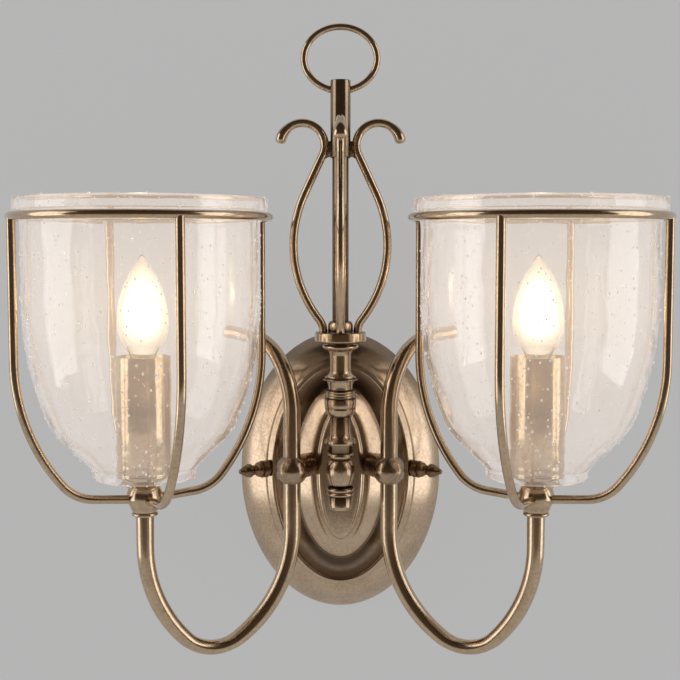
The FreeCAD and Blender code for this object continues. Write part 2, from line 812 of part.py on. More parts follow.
stack("column_neck", [(rod_bore, none), (d.step_radius, none), (d.step_radius, d.step_height)]
      + beads(d.neck_flange_radius, d.step_height, flange_top)
      + [(neck_foot, flange_top, -swell(neck_foot - d.neck_radius, d.neck_cove)), (d.neck_radius, neck_start),
         (d.neck_radius, flange_top + d.neck_height), (rod_bore, flange_top + d.neck_height)], level)
level = level + flange_top + d.neck_height
lip = d.bulge_radius - 0.3
rise = d.bulge_height - d.bulge_line - 0.6
stack("column_bulge", [
    (rod_bore, none), (d.bulge_foot_radius, none, swell(lip - d.bulge_foot_radius, d.bulge_line)),
    (lip, d.bulge_line), (lip - 0.4, d.bulge_line), (lip - 0.4, d.bulge_line + 0.6),
    (lip, d.bulge_line + 0.6, swell(as_size(0.3), rise / 2.0)), (d.bulge_radius, d.bulge_height - rise / 2.0,
                                                              swell(as_size(0.3), rise / 2.0)),
    (lip, d.bulge_height), (rod_bore, d.bulge_height)], level)
level = level + d.bulge_height
stack("column_ring_stack", [(rod_bore, none)] + beads(d.ring_stack_radius, none, d.ring_stack_height, 3)
      + [(rod_bore, d.ring_stack_height)], level)
level = level + d.ring_stack_height
mouth = d.upper_cup_height - d.cup_bead_height
stack("column_cup", [
    (rod_bore, none), (d.cup_waist_radius, none),
    (d.cup_waist_radius, as_size(1.2), -swell(d.cup_mouth_radius - d.cup_waist_radius, mouth - 1.2)),
    (d.cup_mouth_radius, mouth)] + beads(d.cup_bead_radius, mouth, d.upper_cup_height)
      + [(rod_bore, d.upper_cup_height)], level)
level = level + d.upper_cup_height
flare_turn = d.flare_height - 1.3
neck_end = d.flare_height + d.upper_neck_height
cove_end = neck_end + d.upper_cove
upper_top = cove_end + d.upper_flange_height
cove_radius = d.upper_neck_radius + 3.2
stack("column_upper", [
    (rod_bore, none), (d.flare_radius, none), (d.flare_radius, as_size(1.3),
                                               -swell(d.flare_radius - d.upper_neck_radius, flare_turn)),
    (d.upper_neck_radius, d.flare_height),
    (d.upper_neck_radius, neck_end, -swell(cove_radius - d.upper_neck_radius, d.upper_cove)),
    (cove_radius, cove_end)] + beads(d.upper_flange_radius, cove_end, upper_top)
      + [(d.disc_seat_radius, upper_top), (d.disc_seat_radius, upper_top + d.disc_seat_height),
         (rod_bore, upper_top + d.disc_seat_height)], level)
level = level + upper_top + d.disc_seat_height
stack("top_disc", [
    (rod_bore, none), (d.disc_radius - d.disc_edge, none, d.disc_edge), (d.disc_radius, d.disc_edge),
    (d.disc_radius, d.disc_height - d.disc_edge, d.disc_edge), (d.disc_radius - d.disc_edge, d.disc_height),
    (rod_bore, d.disc_height)], level)
disc_top = level + d.disc_height

rod_length = disc_top + d.stem_thread_depth - 0.5 - rod_foot
keep("tie_rod", place(cylinder("tie_rod_bar", d.tie_rod_radius, rod_length), 0.0, column_y, rod_foot))
standoff_length = standoff_end - d.crown_height
standoff_bar = level_bar("standoff_bar", d.standoff_radius, 0.0, -standoff_end, d.standoff_level,
                         standoff_length)
standoff_bore = level_bar("standoff_bore", d.standoff_screw_radius + d.fit_clearance, 0.0,
                          -standoff_end - 1.0, d.standoff_level, standoff_length + 2.0)
keep("column_standoff", cut("standoff_tube", standoff_bar, standoff_bore))
screw_tip = d.column_distance - rod_bore - 0.3
screw_back = d.crown_height - d.plate_wall
screw_head = level_bar("standoff_head", d.standoff_head_radius, 0.0, -screw_back, d.standoff_level,
                       d.standoff_head_height)
screw_shank = level_bar("standoff_shank", d.standoff_screw_radius, 0.0, -screw_tip, d.standoff_level,
                        screw_tip - screw_back + d.standoff_head_height)
keep("standoff_screw", fuse("standoff_screw_solid", [screw_head, screw_shank]))

# ---------------------------------------------------------------- stem, sleeve, loop and scrolls

stem_bore = d.stem_radius + d.fit_clearance
stem_height = d.sleeve_level + d.sleeve_length - d.sleeve_recess
crown_start = d.stem_collar_height * 0.6
collar_crown = d.stem_collar_height - crown_start
stack("stem_collar", [
    (stem_bore, none), (d.stem_collar_radius, none),
    (d.stem_collar_radius, crown_start, swell(as_size(1.2), collar_crown)),
    (d.stem_collar_radius - 1.2, d.stem_collar_height), (stem_bore, d.stem_collar_height)], disc_top)
stack("stem", [
    (rod_bore, none), (d.stem_radius, none), (d.stem_radius, stem_height), (none, stem_height),
    (none, d.stem_thread_depth), (rod_bore, d.stem_thread_depth)], disc_top)
sleeve_edge = d.sleeve_radius - 0.5
stack("sleeve", [
    (stem_bore, none), (d.sleeve_radius, none), (d.sleeve_radius, d.sleeve_length - 0.5, as_size(0.5)),
    (sleeve_edge, d.sleeve_length), (stem_bore, d.sleeve_length)], disc_top + d.sleeve_level)

loop_level = disc_top + d.sleeve_level + d.sleeve_length + d.loop_lift
loop_oval = Part.Ellipse(Vector(0, 0, 0), d.loop_half_width.value, d.loop_half_height.value)
loop_start, loop_end = math.radians(LOOP_OPENING - 90.0), math.radians(270.0 - LOOP_OPENING)
loop_curve = Part.ArcOfEllipse(loop_oval, loop_start, loop_end).toShape()
loop_curve.Placement = Placement(Vector(0, column_y.value, loop_level.value), Rotation(Vector(1, 0, 0), 90))
loop_bar = wire_bar("loop_bar", Part.Wire([loop_curve]), d.loop_wire_radius)
sleeve_clear = place(cylinder("sleeve_clear", d.sleeve_radius, d.sleeve_length), 0.0, column_y,
                     disc_top + d.sleeve_level)
keep("loop_ring", cut("loop_open", loop_bar, sleeve_clear))

scroll_places = (("left_scroll", 90.0, LEFT), ("right_scroll", 90.0, RIGHT), ("front_scroll", 0.0, LEFT))
for name, bearing, side in scroll_places:
    route = Route(d.scroll_foot_offset.value, disc_top.value, 0.0)
    route.bend(d.scroll_foot_bend_radius.value, d.scroll_spread_angle.value)
    route.bend(d.scroll_bow_radius.value, -d.scroll_spread_angle.value - d.scroll_return_angle.value)
    route.run(d.scroll_straight.value)
    route.bend(d.scroll_curl_radius.value, d.scroll_curl_angle.value)
    wire = in_plane(route.wire(), bearing, side)
    wire.translate(Vector(0, column_y.value, 0))
    keep(name, wire_bar(f"{name}_bar", wire, d.scroll_wire_radius))

# ---------------------------------------------------------------- arms

lip_radius = d.glass_body_radius + d.glass_lip_flare
cage_radius = lip_radius + d.cage_clearance
arm_reach = d.glass_body_radius + d.arm_clearance
shade_x = d.arm_ball_x + sine(d.arm_azimuth_angle) * arm_reach
shade_y = -d.arm_ball_distance - cosine(d.arm_azimuth_angle) * arm_reach
neck_level = d.shade_ball_level - d.shade_neck_drop
arm_end = neck_level + d.arm_entry
bore_radius = d.arm_tube_radius - d.arm_tube_wall
inner_reach = d.arm_inner_bend_radius * (1.0 - cosine(d.arm_inner_angle))
outer_reach = d.arm_outer_bend_radius * (1.0 - cosine(d.arm_outer_angle))
bottom_reach = arm_reach - inner_reach - outer_reach
bottom_bend_radius = bottom_reach / (cosine(d.arm_inner_angle) + cosine(d.arm_outer_angle))


def arm_route(side):
    route = Route(0.0, d.arm_ball_level.value, 180.0)
    route.run(d.arm_straight.value)
    route.bend(d.arm_inner_bend_radius.value, -d.arm_inner_angle.value)
    route.bend(bottom_bend_radius.value, -(180.0 - d.arm_inner_angle.value - d.arm_outer_angle.value))
    route.bend(d.arm_outer_bend_radius.value, -d.arm_outer_angle.value)
    route.run(arm_end.value - route.up)
    wire = in_plane(route.wire(), d.arm_azimuth_angle.value, side)
    wire.translate(Vector(d.arm_ball_x.value * side, -d.arm_ball_distance.value, 0))
    return wire


def crook_route(side, tip_length):
    route = Route(0.0, d.arm_ball_level.value, 0.0)
    route.run(d.crook_straight.value)
    route.bend(d.crook_lower_radius.value, d.crook_lower_angle.value)
    route.bend(d.crook_upper_radius.value, d.crook_upper_angle.value)
    route.run(tip_length.value)
    wire = in_plane(route.wire(), d.crook_azimuth_angle.value, side)
    wire.translate(Vector(d.arm_ball_x.value * side, -d.arm_ball_distance.value, 0))
    return wire


def at_shade(thing, side, above):
    """Stand a piece on a shade's axis at a height above the middle of the shade ball."""
    return place(thing, shade_x * side, shade_y, d.shade_ball_level + above)


def shade_turned(label, outline, side, above):
    piece = turned(label, outline)
    return at_shade(piece, side, above)


for side, name in ((LEFT, "left"), (RIGHT, "right")):
    tube = wire_bar("arm_bar", arm_route(side), d.arm_tube_radius)
    bore = wire_bar("arm_bore", arm_route(side), bore_radius)
    keep(f"{name}_arm_tube", cut("arm_hollow", cut("arm_pipe", tube, bore), ball_tool(side)))
    crook = wire_bar("crook_bar", crook_route(side, d.crook_tip_length), d.arm_tube_radius)
    crook_bore = wire_bar("crook_bore", crook_route(side, d.crook_tip_length - d.crook_cap), bore_radius)
    keep(f"{name}_arm_crook", cut("crook_hollow", cut("crook_pipe", crook, crook_bore), ball_tool(side)))

    ball = place(sphere("ball", d.arm_ball_radius), d.arm_ball_x * side, -d.arm_ball_distance,
                 d.arm_ball_level)
    way_down = place(cylinder("way_down", d.wire_way_radius, d.arm_ball_radius * 2.0), d.arm_ball_x * side,
                     -d.arm_ball_distance, d.arm_ball_level - d.arm_ball_radius * 2.0)
    way_back = spacer_bar("way_back", side, d.wire_way_radius, as_size(-1.0), d.arm_ball_radius)
    nipple_seat = d.arm_ball_radius - d.nipple_entry
    nipple_bore = d.nipple_radius + d.fit_clearance
    thread = spacer_bar("ball_thread", side, nipple_bore, nipple_seat, d.arm_ball_radius)
    pair("arm_balls", cut("ball_bored", ball, fuse("ball_ways", [way_down, way_back, thread])))

    spacer = spacer_bar("spacer", side, d.spacer_radius, as_size(0.0), d.wedge_reach)
    spacer_bore = spacer_bar("spacer_bore", side, nipple_bore, as_size(-1.0), d.wedge_reach + 2.0)
    spacer_tube = cut("spacer_tube", spacer, spacer_bore)
    pair("arm_spacers", cut("spacer_coped", cut("spacer_seated", spacer_tube, ball_tool(side)), outer_dome))
    wedge = spacer_bar("wedge", side, d.wedge_radius, d.arm_ball_radius, d.wedge_reach - d.arm_ball_radius)
    wedge_bore = spacer_bar("wedge_bore", side, nipple_bore, as_size(0.0), d.wedge_reach + 2.0)
    wedge_in = doc.addObject("Part::MultiCommon", "wedge_inside")
    wedge_in.Shapes = [wedge, inner_dome]
    pair("nipple_wedges", cut("wedge_ring", wedge_in, wedge_bore))
    nut_end = d.wedge_reach + d.nipple_nut_height
    nut = aim(hexagon_bar("nipple_nut", d.nipple_nut_flats, d.nipple_nut_height),
              along_spacer(side, d.wedge_reach), spacer_axis(side))
    nut_bore = spacer_bar("nut_bore", side, nipple_bore, d.wedge_reach - 1.0, d.nipple_nut_height + 2.0)
    pair("nipple_nuts", cut("nipple_nut_ring", nut, nut_bore))
    nipple = spacer_bar("nipple", side, d.nipple_radius, nipple_seat, nut_end + 1.0 - nipple_seat)
    nipple_way = spacer_bar("nipple_way", side, d.wire_way_radius, as_size(0.0), nut_end + 3.0)
    pair("arm_nipples", cut("nipple_tube", nipple, nipple_way))

    tube_fit = d.arm_tube_radius + d.fit_clearance
    flange_edge = d.arm_flange_radius - 0.8
    pair("arm_flanges", shade_turned(f"{name}_flange_turned", [
        (tube_fit, none), (flange_edge, none), (d.arm_flange_radius, as_size(0.8)),
        (d.arm_flange_radius, d.arm_flange_height), (tube_fit, d.arm_flange_height)],
        side, -d.shade_neck_drop - d.arm_flange_height))

    ball_square = d.shade_ball_radius * d.shade_ball_radius
    neck_top = -root(ball_square - d.shade_neck_radius * d.shade_neck_radius)
    flat_radius = root(ball_square - d.shade_ball_flat * d.shade_ball_flat)
    lamp_bore = d.lamp_nipple_radius + d.fit_clearance
    lamp_seat = d.shade_ball_flat - d.lamp_nipple_entry
    arm_stop = d.arm_entry - d.shade_neck_drop
    shade_ball_outline = [
        (tube_fit, -d.shade_neck_drop), (d.shade_neck_radius, -d.shade_neck_drop),
        (d.shade_neck_radius, neck_top, d.shade_ball_radius),
        (flat_radius, d.shade_ball_flat), (lamp_bore, d.shade_ball_flat), (lamp_bore, lamp_seat),
        (d.wire_way_radius, lamp_seat),
        (d.wire_way_radius, arm_stop), (tube_fit, arm_stop)]
    keep(f"{name}_shade_ball", shade_turned(f"{name}_shade_ball_turned", shade_ball_outline, side, none))

    spigot = d.candle_radius - d.candle_wall - d.fit_clearance
    spigot_top = d.cup_height + 3.0
    pair("candle_cups", shade_turned(f"{name}_cup_turned", [
        (lamp_bore, none), (d.cup_foot_radius, none), (d.cup_radius - 0.8, d.cup_rise - 0.4),
        (d.cup_radius, d.cup_rise + 0.4), (d.cup_radius, d.cup_height), (spigot, d.cup_height),
        (spigot, spigot_top), (spigot - 1.2, spigot_top), (spigot - 1.2, d.cup_floor),
        (lamp_bore, d.cup_floor)],
        side, d.shade_ball_flat))
    floor = d.shade_ball_flat + d.cup_floor
    nut_bar = at_shade(hexagon_bar("lamp_nut", d.lamp_nut_flats, d.lamp_nut_height), side, floor)
    nut_hole = at_shade(cylinder("lamp_nut_hole", lamp_bore, d.lamp_nut_height + 2.0), side, floor - 1.0)
    pair("lamp_nuts", cut("lamp_nut_ring", nut_bar, nut_hole))
    nipple_length = floor + d.lamp_nipple_reach - lamp_seat
    lamp_nipple = at_shade(cylinder("lamp_nipple", d.lamp_nipple_radius, nipple_length), side, lamp_seat)
    lamp_way = at_shade(cylinder("lamp_way", d.wire_way_radius, nipple_length + 2.0), side, lamp_seat - 1.0)
    pair("lamp_nipples", cut("lamp_nipple_tube", lamp_nipple, lamp_way))

    holder_base = floor + d.lamp_nut_height
    holder_entry = d.lamp_nipple_reach - d.lamp_nut_height + 0.5
    cap_bore = d.bulb_cap_radius + d.bulb_cap_clearance
    cap_floor = d.holder_height - d.bulb_cap_length - 0.4 + d.bulb_seat_gap
    keep(f"{name}_lampholder", shade_turned(f"{name}_holder_turned", [
        (lamp_bore, none), (d.holder_foot_radius, none), (d.holder_foot_radius, d.holder_shoulder),
        (d.holder_radius, d.holder_shoulder + 4.0), (d.holder_radius, d.holder_height),
        (cap_bore, d.holder_height), (cap_bore, cap_floor), (none, cap_floor), (none, cap_floor - 3.0),
        (d.wire_way_radius, cap_floor - 3.0), (d.wire_way_radius, holder_entry), (lamp_bore, holder_entry)],
        side, holder_base))
    candle_base = d.shade_ball_flat + d.cup_height
    candle_bore = d.candle_radius - d.candle_wall
    keep(f"{name}_candle_tube", shade_turned(f"{name}_candle_turned", [
        (candle_bore, none), (d.candle_radius, none), (d.candle_radius, d.candle_height),
        (candle_bore, d.candle_height)], side, candle_base))

    bulb_base = holder_base + d.holder_height + d.bulb_seat_gap
    skin = d.bulb_glass_wall
    keep(f"{name}_bulb_cap", shade_turned(f"{name}_cap_turned", [
        (none, none), (d.bulb_cap_radius - 3.0, none), (d.bulb_cap_radius, as_size(3.0)),
        (d.bulb_cap_radius, d.bulb_cap_length), (none, d.bulb_cap_length)],
        side, bulb_base - d.bulb_cap_length))
    flare_out = d.bulb_neck_radius + d.bulb_flare_radius * (1.0 - sine(d.bulb_flare_angle))
    flare_up = d.bulb_neck_length + d.bulb_flare_radius * cosine(d.bulb_flare_angle)
    hip_radius = (d.bulb_glass_radius - flare_out) / (1.0 - sine(d.bulb_flare_angle))
    widest = flare_up + hip_radius * cosine(d.bulb_flare_angle)
    flame_height = d.bulb_glass_length - d.bulb_tip_height - widest
    flame_radius = swell(d.bulb_glass_radius - d.bulb_tip_radius, flame_height)
    flame_offset = flame_radius - d.bulb_glass_radius + d.bulb_tip_radius
    inner_flame = flame_radius - skin
    inner_tip = widest + root(inner_flame * inner_flame - flame_offset * flame_offset)
    lean_in = cosine(d.bulb_flare_angle)
    flare_in, flare_in_up = flare_out - skin * sine(d.bulb_flare_angle), flare_up + skin * lean_in
    keep(f"{name}_bulb_glass", shade_turned(f"{name}_glass_blown", [
        (d.bulb_neck_radius - skin, none), (d.bulb_neck_radius, none),
        (d.bulb_neck_radius, d.bulb_neck_length, -d.bulb_flare_radius), (flare_out, flare_up, hip_radius),
        (d.bulb_glass_radius, widest, flame_radius),
        (d.bulb_tip_radius, d.bulb_glass_length - d.bulb_tip_height), (none, d.bulb_glass_length),
        (none, inner_tip), (d.bulb_tip_radius, inner_tip, -inner_flame),
        (d.bulb_glass_radius - skin, widest, -hip_radius + skin),
        (flare_in, flare_in_up, d.bulb_flare_radius + skin),
        (d.bulb_neck_radius - skin, d.bulb_neck_length)], side, bulb_base))
    core_rise = d.bulb_core_height - d.bulb_tip_height - d.bulb_core_widest
    core_swell = d.bulb_core_widest - d.bulb_core_level
    keep(f"{name}_bulb_core", shade_turned(f"{name}_core_turned", [
        (none, none), (d.bulb_post_radius, none),
        (d.bulb_post_radius, d.bulb_core_level, swell(d.bulb_core_radius - d.bulb_post_radius, core_swell)),
        (d.bulb_core_radius, d.bulb_core_widest, swell(d.bulb_core_radius - d.bulb_tip_radius, core_rise)),
        (d.bulb_tip_radius, d.bulb_core_height - d.bulb_tip_height), (none, d.bulb_core_height)],
        side, bulb_base))

# ---------------------------------------------------------------- cages and glass bells

foot_reach = d.cage_foot_length * cosine(d.cage_foot_angle)
knee_reach = d.cage_knee_radius * (sine(d.cage_knee_angle) - sine(d.cage_foot_angle))
side_bend = (cage_radius - foot_reach - knee_reach) / (1.0 - sine(d.cage_knee_angle))
seat_line = (d.cage_ring_level + (d.cage_ring_wire_radius + d.glass_seat_gap) * math.sqrt(2.0) - cage_radius
             - d.glass_bottom_level)


def cage_rod_wire(azimuth, side):
    start = d.cage_foot_start.value
    slope = d.cage_foot_angle.value
    drop = math.tan(math.radians(slope)) * start
    route = Route(start, d.shade_ball_level.value - d.cage_foot_drop.value + drop, 90.0 - slope)
    route.run(d.cage_foot_length.value - start / math.cos(math.radians(slope)))
    route.bend(d.cage_knee_radius.value, slope - d.cage_knee_angle.value)
    route.bend(side_bend.value, d.cage_knee_angle.value - 90.0)
    route.run(d.cage_ring_level.value - d.cage_rod_cope.value - route.up)
    wire = in_plane(route.wire(), azimuth, side)
    wire.translate(Vector(shade_x.value * side, shade_y.value, 0))
    return wire


cone_start = d.glass_collar_radius + d.glass_collar_bend * (1.0 - cosine(90.0 - d.glass_cone_angle))
cone_foot = d.glass_collar_height + d.glass_collar_bend * cosine(d.glass_cone_angle)
cone_top = cone_foot + (d.glass_cone_radius - cone_start) * tangent(d.glass_cone_angle)
hip_out = d.glass_cone_radius + d.glass_hip_bend * (sine(d.glass_hip_angle) - sine(d.glass_cone_angle))
hip_up = cone_top + d.glass_hip_bend * (cosine(d.glass_cone_angle) - cosine(d.glass_hip_angle))
belly_bend = (d.glass_body_radius - hip_out) / (1.0 - sine(d.glass_hip_angle))
belly_up = hip_up + belly_bend * cosine(d.glass_hip_angle)
shoulder_lean = as_size(-45.0)
miter = as_size(22.5)
glass_outline = walled([
    (d.glass_collar_radius, none, none, none, None),
    (d.glass_collar_radius, d.glass_collar_height, none, none, -d.glass_collar_bend),
    (cone_start, cone_foot, d.glass_cone_angle - 90.0, none, None),
    (d.glass_cone_radius, cone_top, d.glass_cone_angle - 90.0, none, d.glass_hip_bend),
    (hip_out, hip_up, d.glass_hip_angle - 90.0, none, belly_bend),
    (d.glass_body_radius, belly_up, none, none, None),
    (d.glass_body_radius, seat_line + d.glass_body_radius, shoulder_lean / 2.0, miter, None),
    (lip_radius, seat_line + lip_radius, shoulder_lean / 2.0, miter, None),
    (lip_radius, d.glass_top_level - d.glass_bottom_level, none, none, None),
], d.glass_wall)

for side, name in ((LEFT, "left"), (RIGHT, "right")):
    ring = at_shade(primitive("Part::Torus", f"{name}_ring", Radius1=cage_radius,
                              Radius2=d.cage_ring_wire_radius), side, d.cage_ring_level - d.shade_ball_level)
    keep(f"{name}_cage_ring", ring)
    ring_clear = at_shade(
        primitive("Part::Torus", "ring_clear", Radius1=cage_radius, Radius2=d.cage_ring_wire_radius),
        side, d.cage_ring_level - d.shade_ball_level)
    ball_clear = at_shade(sphere("shade_ball_clear", d.shade_ball_radius), side, none)
    rods = []
    for quarter in range(4):
        rod_line = cage_rod_wire(d.arm_azimuth_angle.value + 90.0 * quarter, side)
        rod = wire_bar("cage_rod", rod_line, d.cage_rod_radius)
        rods.append(cut("rod_coped", cut("rod_seated", rod, ball_clear), ring_clear))
    keep(f"{name}_cage_rods", group("cage_rod_set", rods))
    bell = turned(f"{name}_glass_shade", glass_outline)
    keep(f"{name}_glass_shade", at_shade(bell, side, d.glass_bottom_level - d.shade_ball_level))

# ---------------------------------------------------------------- recompute, check and write

for label, pieces in pairs.items():
    keep(label, group(f"{label}_set", pieces))
doc.recompute()
faults = []
for thing in doc.Objects:
    if "Invalid" in thing.State or "Error" in thing.State:
        faults.append(f"{thing.Label}: {thing.State}")
for label, thing in nodes.items():
    if thing.Shape.isNull() or not thing.Shape.isValid() or not thing.Shape.Solids:
        faults.append(f"{label}: no valid solid")
if faults:
    raise SystemExit("faults: " + "; ".join(faults))

os.makedirs("parts", exist_ok=True)
for label, thing in nodes.items():
    thing.Shape.exportStep(os.path.join("parts", f"{label}.step"))
print(f"{len(nodes)} sub-parts written")
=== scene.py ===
# %% [markdown]
# # A double arm wall sconce in antique brass and seeded glass
# The lamp hangs on a wall: a domed oval backplate, a turned column with a stem, scrolls and a loop,
# and two swept tubes that each carry a wire cage with a glass bell over a candle lamp.
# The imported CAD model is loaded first, as a fixed frame. Every piece made here is drawn on top of it,
# in metres, so that it lands exactly where the CAD solid is.

# %% Load the frame
import math

import bmesh
import bpy
from mathutils import Matrix, Vector


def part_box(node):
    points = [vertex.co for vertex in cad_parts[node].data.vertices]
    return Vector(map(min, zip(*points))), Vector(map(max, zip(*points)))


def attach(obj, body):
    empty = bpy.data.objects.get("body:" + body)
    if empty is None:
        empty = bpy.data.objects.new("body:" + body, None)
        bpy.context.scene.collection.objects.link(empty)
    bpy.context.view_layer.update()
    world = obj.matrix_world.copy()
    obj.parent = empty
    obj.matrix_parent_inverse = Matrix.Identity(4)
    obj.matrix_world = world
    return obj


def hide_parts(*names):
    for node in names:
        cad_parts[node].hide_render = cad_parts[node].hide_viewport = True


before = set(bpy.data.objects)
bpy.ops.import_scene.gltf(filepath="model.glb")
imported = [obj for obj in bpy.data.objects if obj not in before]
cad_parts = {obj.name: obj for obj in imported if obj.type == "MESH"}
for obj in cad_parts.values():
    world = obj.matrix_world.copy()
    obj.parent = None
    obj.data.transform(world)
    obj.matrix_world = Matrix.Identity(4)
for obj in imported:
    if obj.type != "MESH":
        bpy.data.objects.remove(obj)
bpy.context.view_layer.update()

MM = 0.001
SIDES = {"left": -1, "right": 1}

# %% [markdown]
# Most places come from the frame: the two shade axes, the two arm balls and the column are read off
# the boxes of their CAD nodes. Only sizes that a box can't give, such as a bend radius, are written here.

# %% Places read from the frame
def middle(node):
    low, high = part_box(node)
    return (low + high) / 2


def solid_middle(node, side):
    """Middle of the left or right solid of a node that holds one for each side."""
    points = [v.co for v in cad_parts[node].data.vertices if v.co.x * side > 0]
    low = Vector([min(p[axis] for p in points) for axis in range(3)])
    high = Vector([max(p[axis] for p in points) for axis in range(3)])
    return (low + high) / 2


COLUMN = Vector((0, middle("tie_rod").y, 0))
SHADE = {name: middle(f"{name}_cage_ring") for name in SIDES}
ARM_BALL = {name: solid_middle("arm_balls", side) for name, side in SIDES.items()}
for name in SIDES:
    ARM_BALL[name].z = solid_middle("arm_spacers", SIDES[name]).z
print("shade axes", {name: [round(c, 4) for c in place] for name, place in SHADE.items()})

# %% [markdown]
# ## Studio
# The photograph was taken with a long lens, slightly above the middle of the lamp. Two tall softboxes
# stand at the sides and give every tube its pair of cream stripes. Polished metal also mirrors the dim
# brown room behind the camera, which gives the dark between the stripes. The wall is plain grey.

# %% Camera at the photograph's angle
FOCAL_PIXELS, FRAME_PIXELS, SENSOR_MM, NEAREST_SEEN = 1210.0, 680.0, 36.0, 0.05
CAMERA_PLACE = Vector((-0.0003, -0.813, 0.1502))
CAMERA_PITCH = math.radians(4.395)


def make_camera():
    data = bpy.data.cameras.new("photo_camera")
    data.sensor_width = SENSOR_MM
    data.lens = SENSOR_MM * FOCAL_PIXELS / FRAME_PIXELS
    data.clip_start = NEAREST_SEEN
    camera = bpy.data.objects.new("photo_camera", data)
    camera.location = CAMERA_PLACE
    camera.rotation_euler = (math.pi / 2 - CAMERA_PITCH, 0, 0)
    bpy.context.scene.collection.objects.link(camera)
    bpy.context.scene.camera = camera


make_camera()
scene = bpy.context.scene
scene.view_settings.view_transform = "Standard"
print("lens", round(scene.camera.data.lens, 1), "mm")

# %% [markdown]
# Materials and Geometry Nodes are both trees of nodes. A few helpers keep them short: `add_node` makes a
# node and fills its inputs at once, where a socket is linked and a plain value is set.

# %% Node helpers
def fill(tree, node, inputs):
    """Fill a node's inputs: a socket is linked, and a plain value is set."""
    for key, value in inputs.items():
        if isinstance(value, bpy.types.NodeSocket):
            tree.links.new(value, node.inputs[key])
        else:
            node.inputs[key].default_value = value
    return node


def add_node(tree, kind, inputs=None, **settings):
    """Add a node with its settings and inputs."""
    node = tree.nodes.new(kind)
    for key, value in settings.items():
        setattr(node, key, value)
    return fill(tree, node, inputs or {})


def maths(tree, operation, first, second=None, third=None, **settings):
    """A Math node whose operands are sockets or numbers."""
    operands = {n: value for n, value in enumerate((first, second, third)) if value is not None}
    return add_node(tree, "ShaderNodeMath", operands, operation=operation, **settings).outputs[0]


def enabled(sockets, name):
    """The socket that is in use, of several that share a name."""
    return next(socket for socket in sockets if socket.name == name and socket.enabled)


def mixed(tree, factor, first, second):
    """The colour that lies between two others."""
    node = add_node(tree, "ShaderNodeMix", {"Factor": factor}, data_type="RGBA")
    for name, colour in (("A", first), ("B", second)):
        socket = enabled(node.inputs, name)
        if isinstance(colour, bpy.types.NodeSocket):
            tree.links.new(colour, socket)
        else:
            socket.default_value = colour
    return enabled(node.outputs, "Result")


def new_material(name):
    material = bpy.data.materials.new(name)
    material.use_nodes = True
    return material, material.node_tree, material.node_tree.nodes["Principled BSDF"]


print("helpers ready")

# %% [markdown]
# The wall and floor are plain pale paper. They show their own colour to the camera and to what metal and
# glass mirror or let through, and keep a share of real shading, so that the lamp's shadow falls on them.

# %% Wall and floor
WALL_GREY, WALL_SHADE_SHARE = (0.485, 0.482, 0.482), 0.12
FLOOR_GREY, FLOOR_SHADE_SHARE = (0.6, 0.59, 0.58), 0.5
WALL_GAP, HALF_ROOM, FLOOR_LEVEL = 0.0008, 3.0, -0.9


def backdrop_material(name, colour, shade_share):
    """Paper that is seen at its own colour, and is clear from behind."""
    material, tree, shader = new_material(name)
    tree.nodes.remove(shader)
    rays = add_node(tree, "ShaderNodeLightPath").outputs
    seen = maths(tree, "MAXIMUM", rays["Is Camera Ray"], rays["Is Glossy Ray"])
    seen = maths(tree, "MAXIMUM", seen, rays["Is Transmission Ray"])
    flat = add_node(tree, "ShaderNodeEmission", {"Color": (*colour, 1)})
    paper = add_node(tree, "ShaderNodeBsdfDiffuse", {"Color": (*colour, 1)})
    front = add_node(tree, "ShaderNodeMixShader", {
        0: maths(tree, "MULTIPLY", seen, 1 - shade_share), 1: paper.outputs[0], 2: flat.outputs[0]})
    behind = add_node(tree, "ShaderNodeNewGeometry").outputs["Backfacing"]
    clear = add_node(tree, "ShaderNodeBsdfTransparent")
    surface = add_node(tree, "ShaderNodeMixShader", {0: behind, 1: front.outputs[0], 2: clear.outputs[0]})
    fill(tree, tree.nodes["Material Output"], {"Surface": surface.outputs[0]})
    return material


def flat_panel(name, corners, material):
    mesh = bpy.data.meshes.new(name)
    mesh.from_pydata(corners, [], [tuple(range(len(corners)))])
    mesh.materials.append(material)
    panel = bpy.data.objects.new(name, mesh)
    scene.collection.objects.link(panel)


ACROSS = (-HALF_ROOM, HALF_ROOM, HALF_ROOM, -HALF_ROOM)
WALL_UP = (FLOOR_LEVEL, FLOOR_LEVEL, HALF_ROOM, HALF_ROOM)
FLOOR_OUT = (-HALF_ROOM, -HALF_ROOM, HALF_ROOM, HALF_ROOM)
flat_panel("wall", [(x, WALL_GAP, z) for x, z in zip(ACROSS, WALL_UP)],
           backdrop_material("wall_paper", WALL_GREY, WALL_SHADE_SHARE))
flat_panel("floor", [(x, y, FLOOR_LEVEL) for x, y in zip(ACROSS, FLOOR_OUT)],
           backdrop_material("floor_paper", FLOOR_GREY, FLOOR_SHADE_SHARE))
print("wall and floor made")

# %% [markdown]
# The world is even daylight for plain surfaces. Metal mirrors the dim brown room instead, which is darker
# above than below. Both softboxes aim at the middle of the lamp.

# %% World and lamps
DAYLIGHT = (0.62, 0.60, 0.58)
ROOM_BELOW, ROOM_LEVEL, ROOM_ABOVE = (0.24, 0.18, 0.13), (0.075, 0.053, 0.037), (0.035, 0.026, 0.019)
SOFTBOX_ACROSS, SOFTBOX_DEPTH, SOFTBOX_UP = 1.5, -0.45, 0.35
SOFTBOX_WIDE, SOFTBOX_TALL, SOFTBOX_WATTS = 0.95, 1.9, 9.8
SOFTBOX_AIM = Vector((0, -0.05, 0.1))


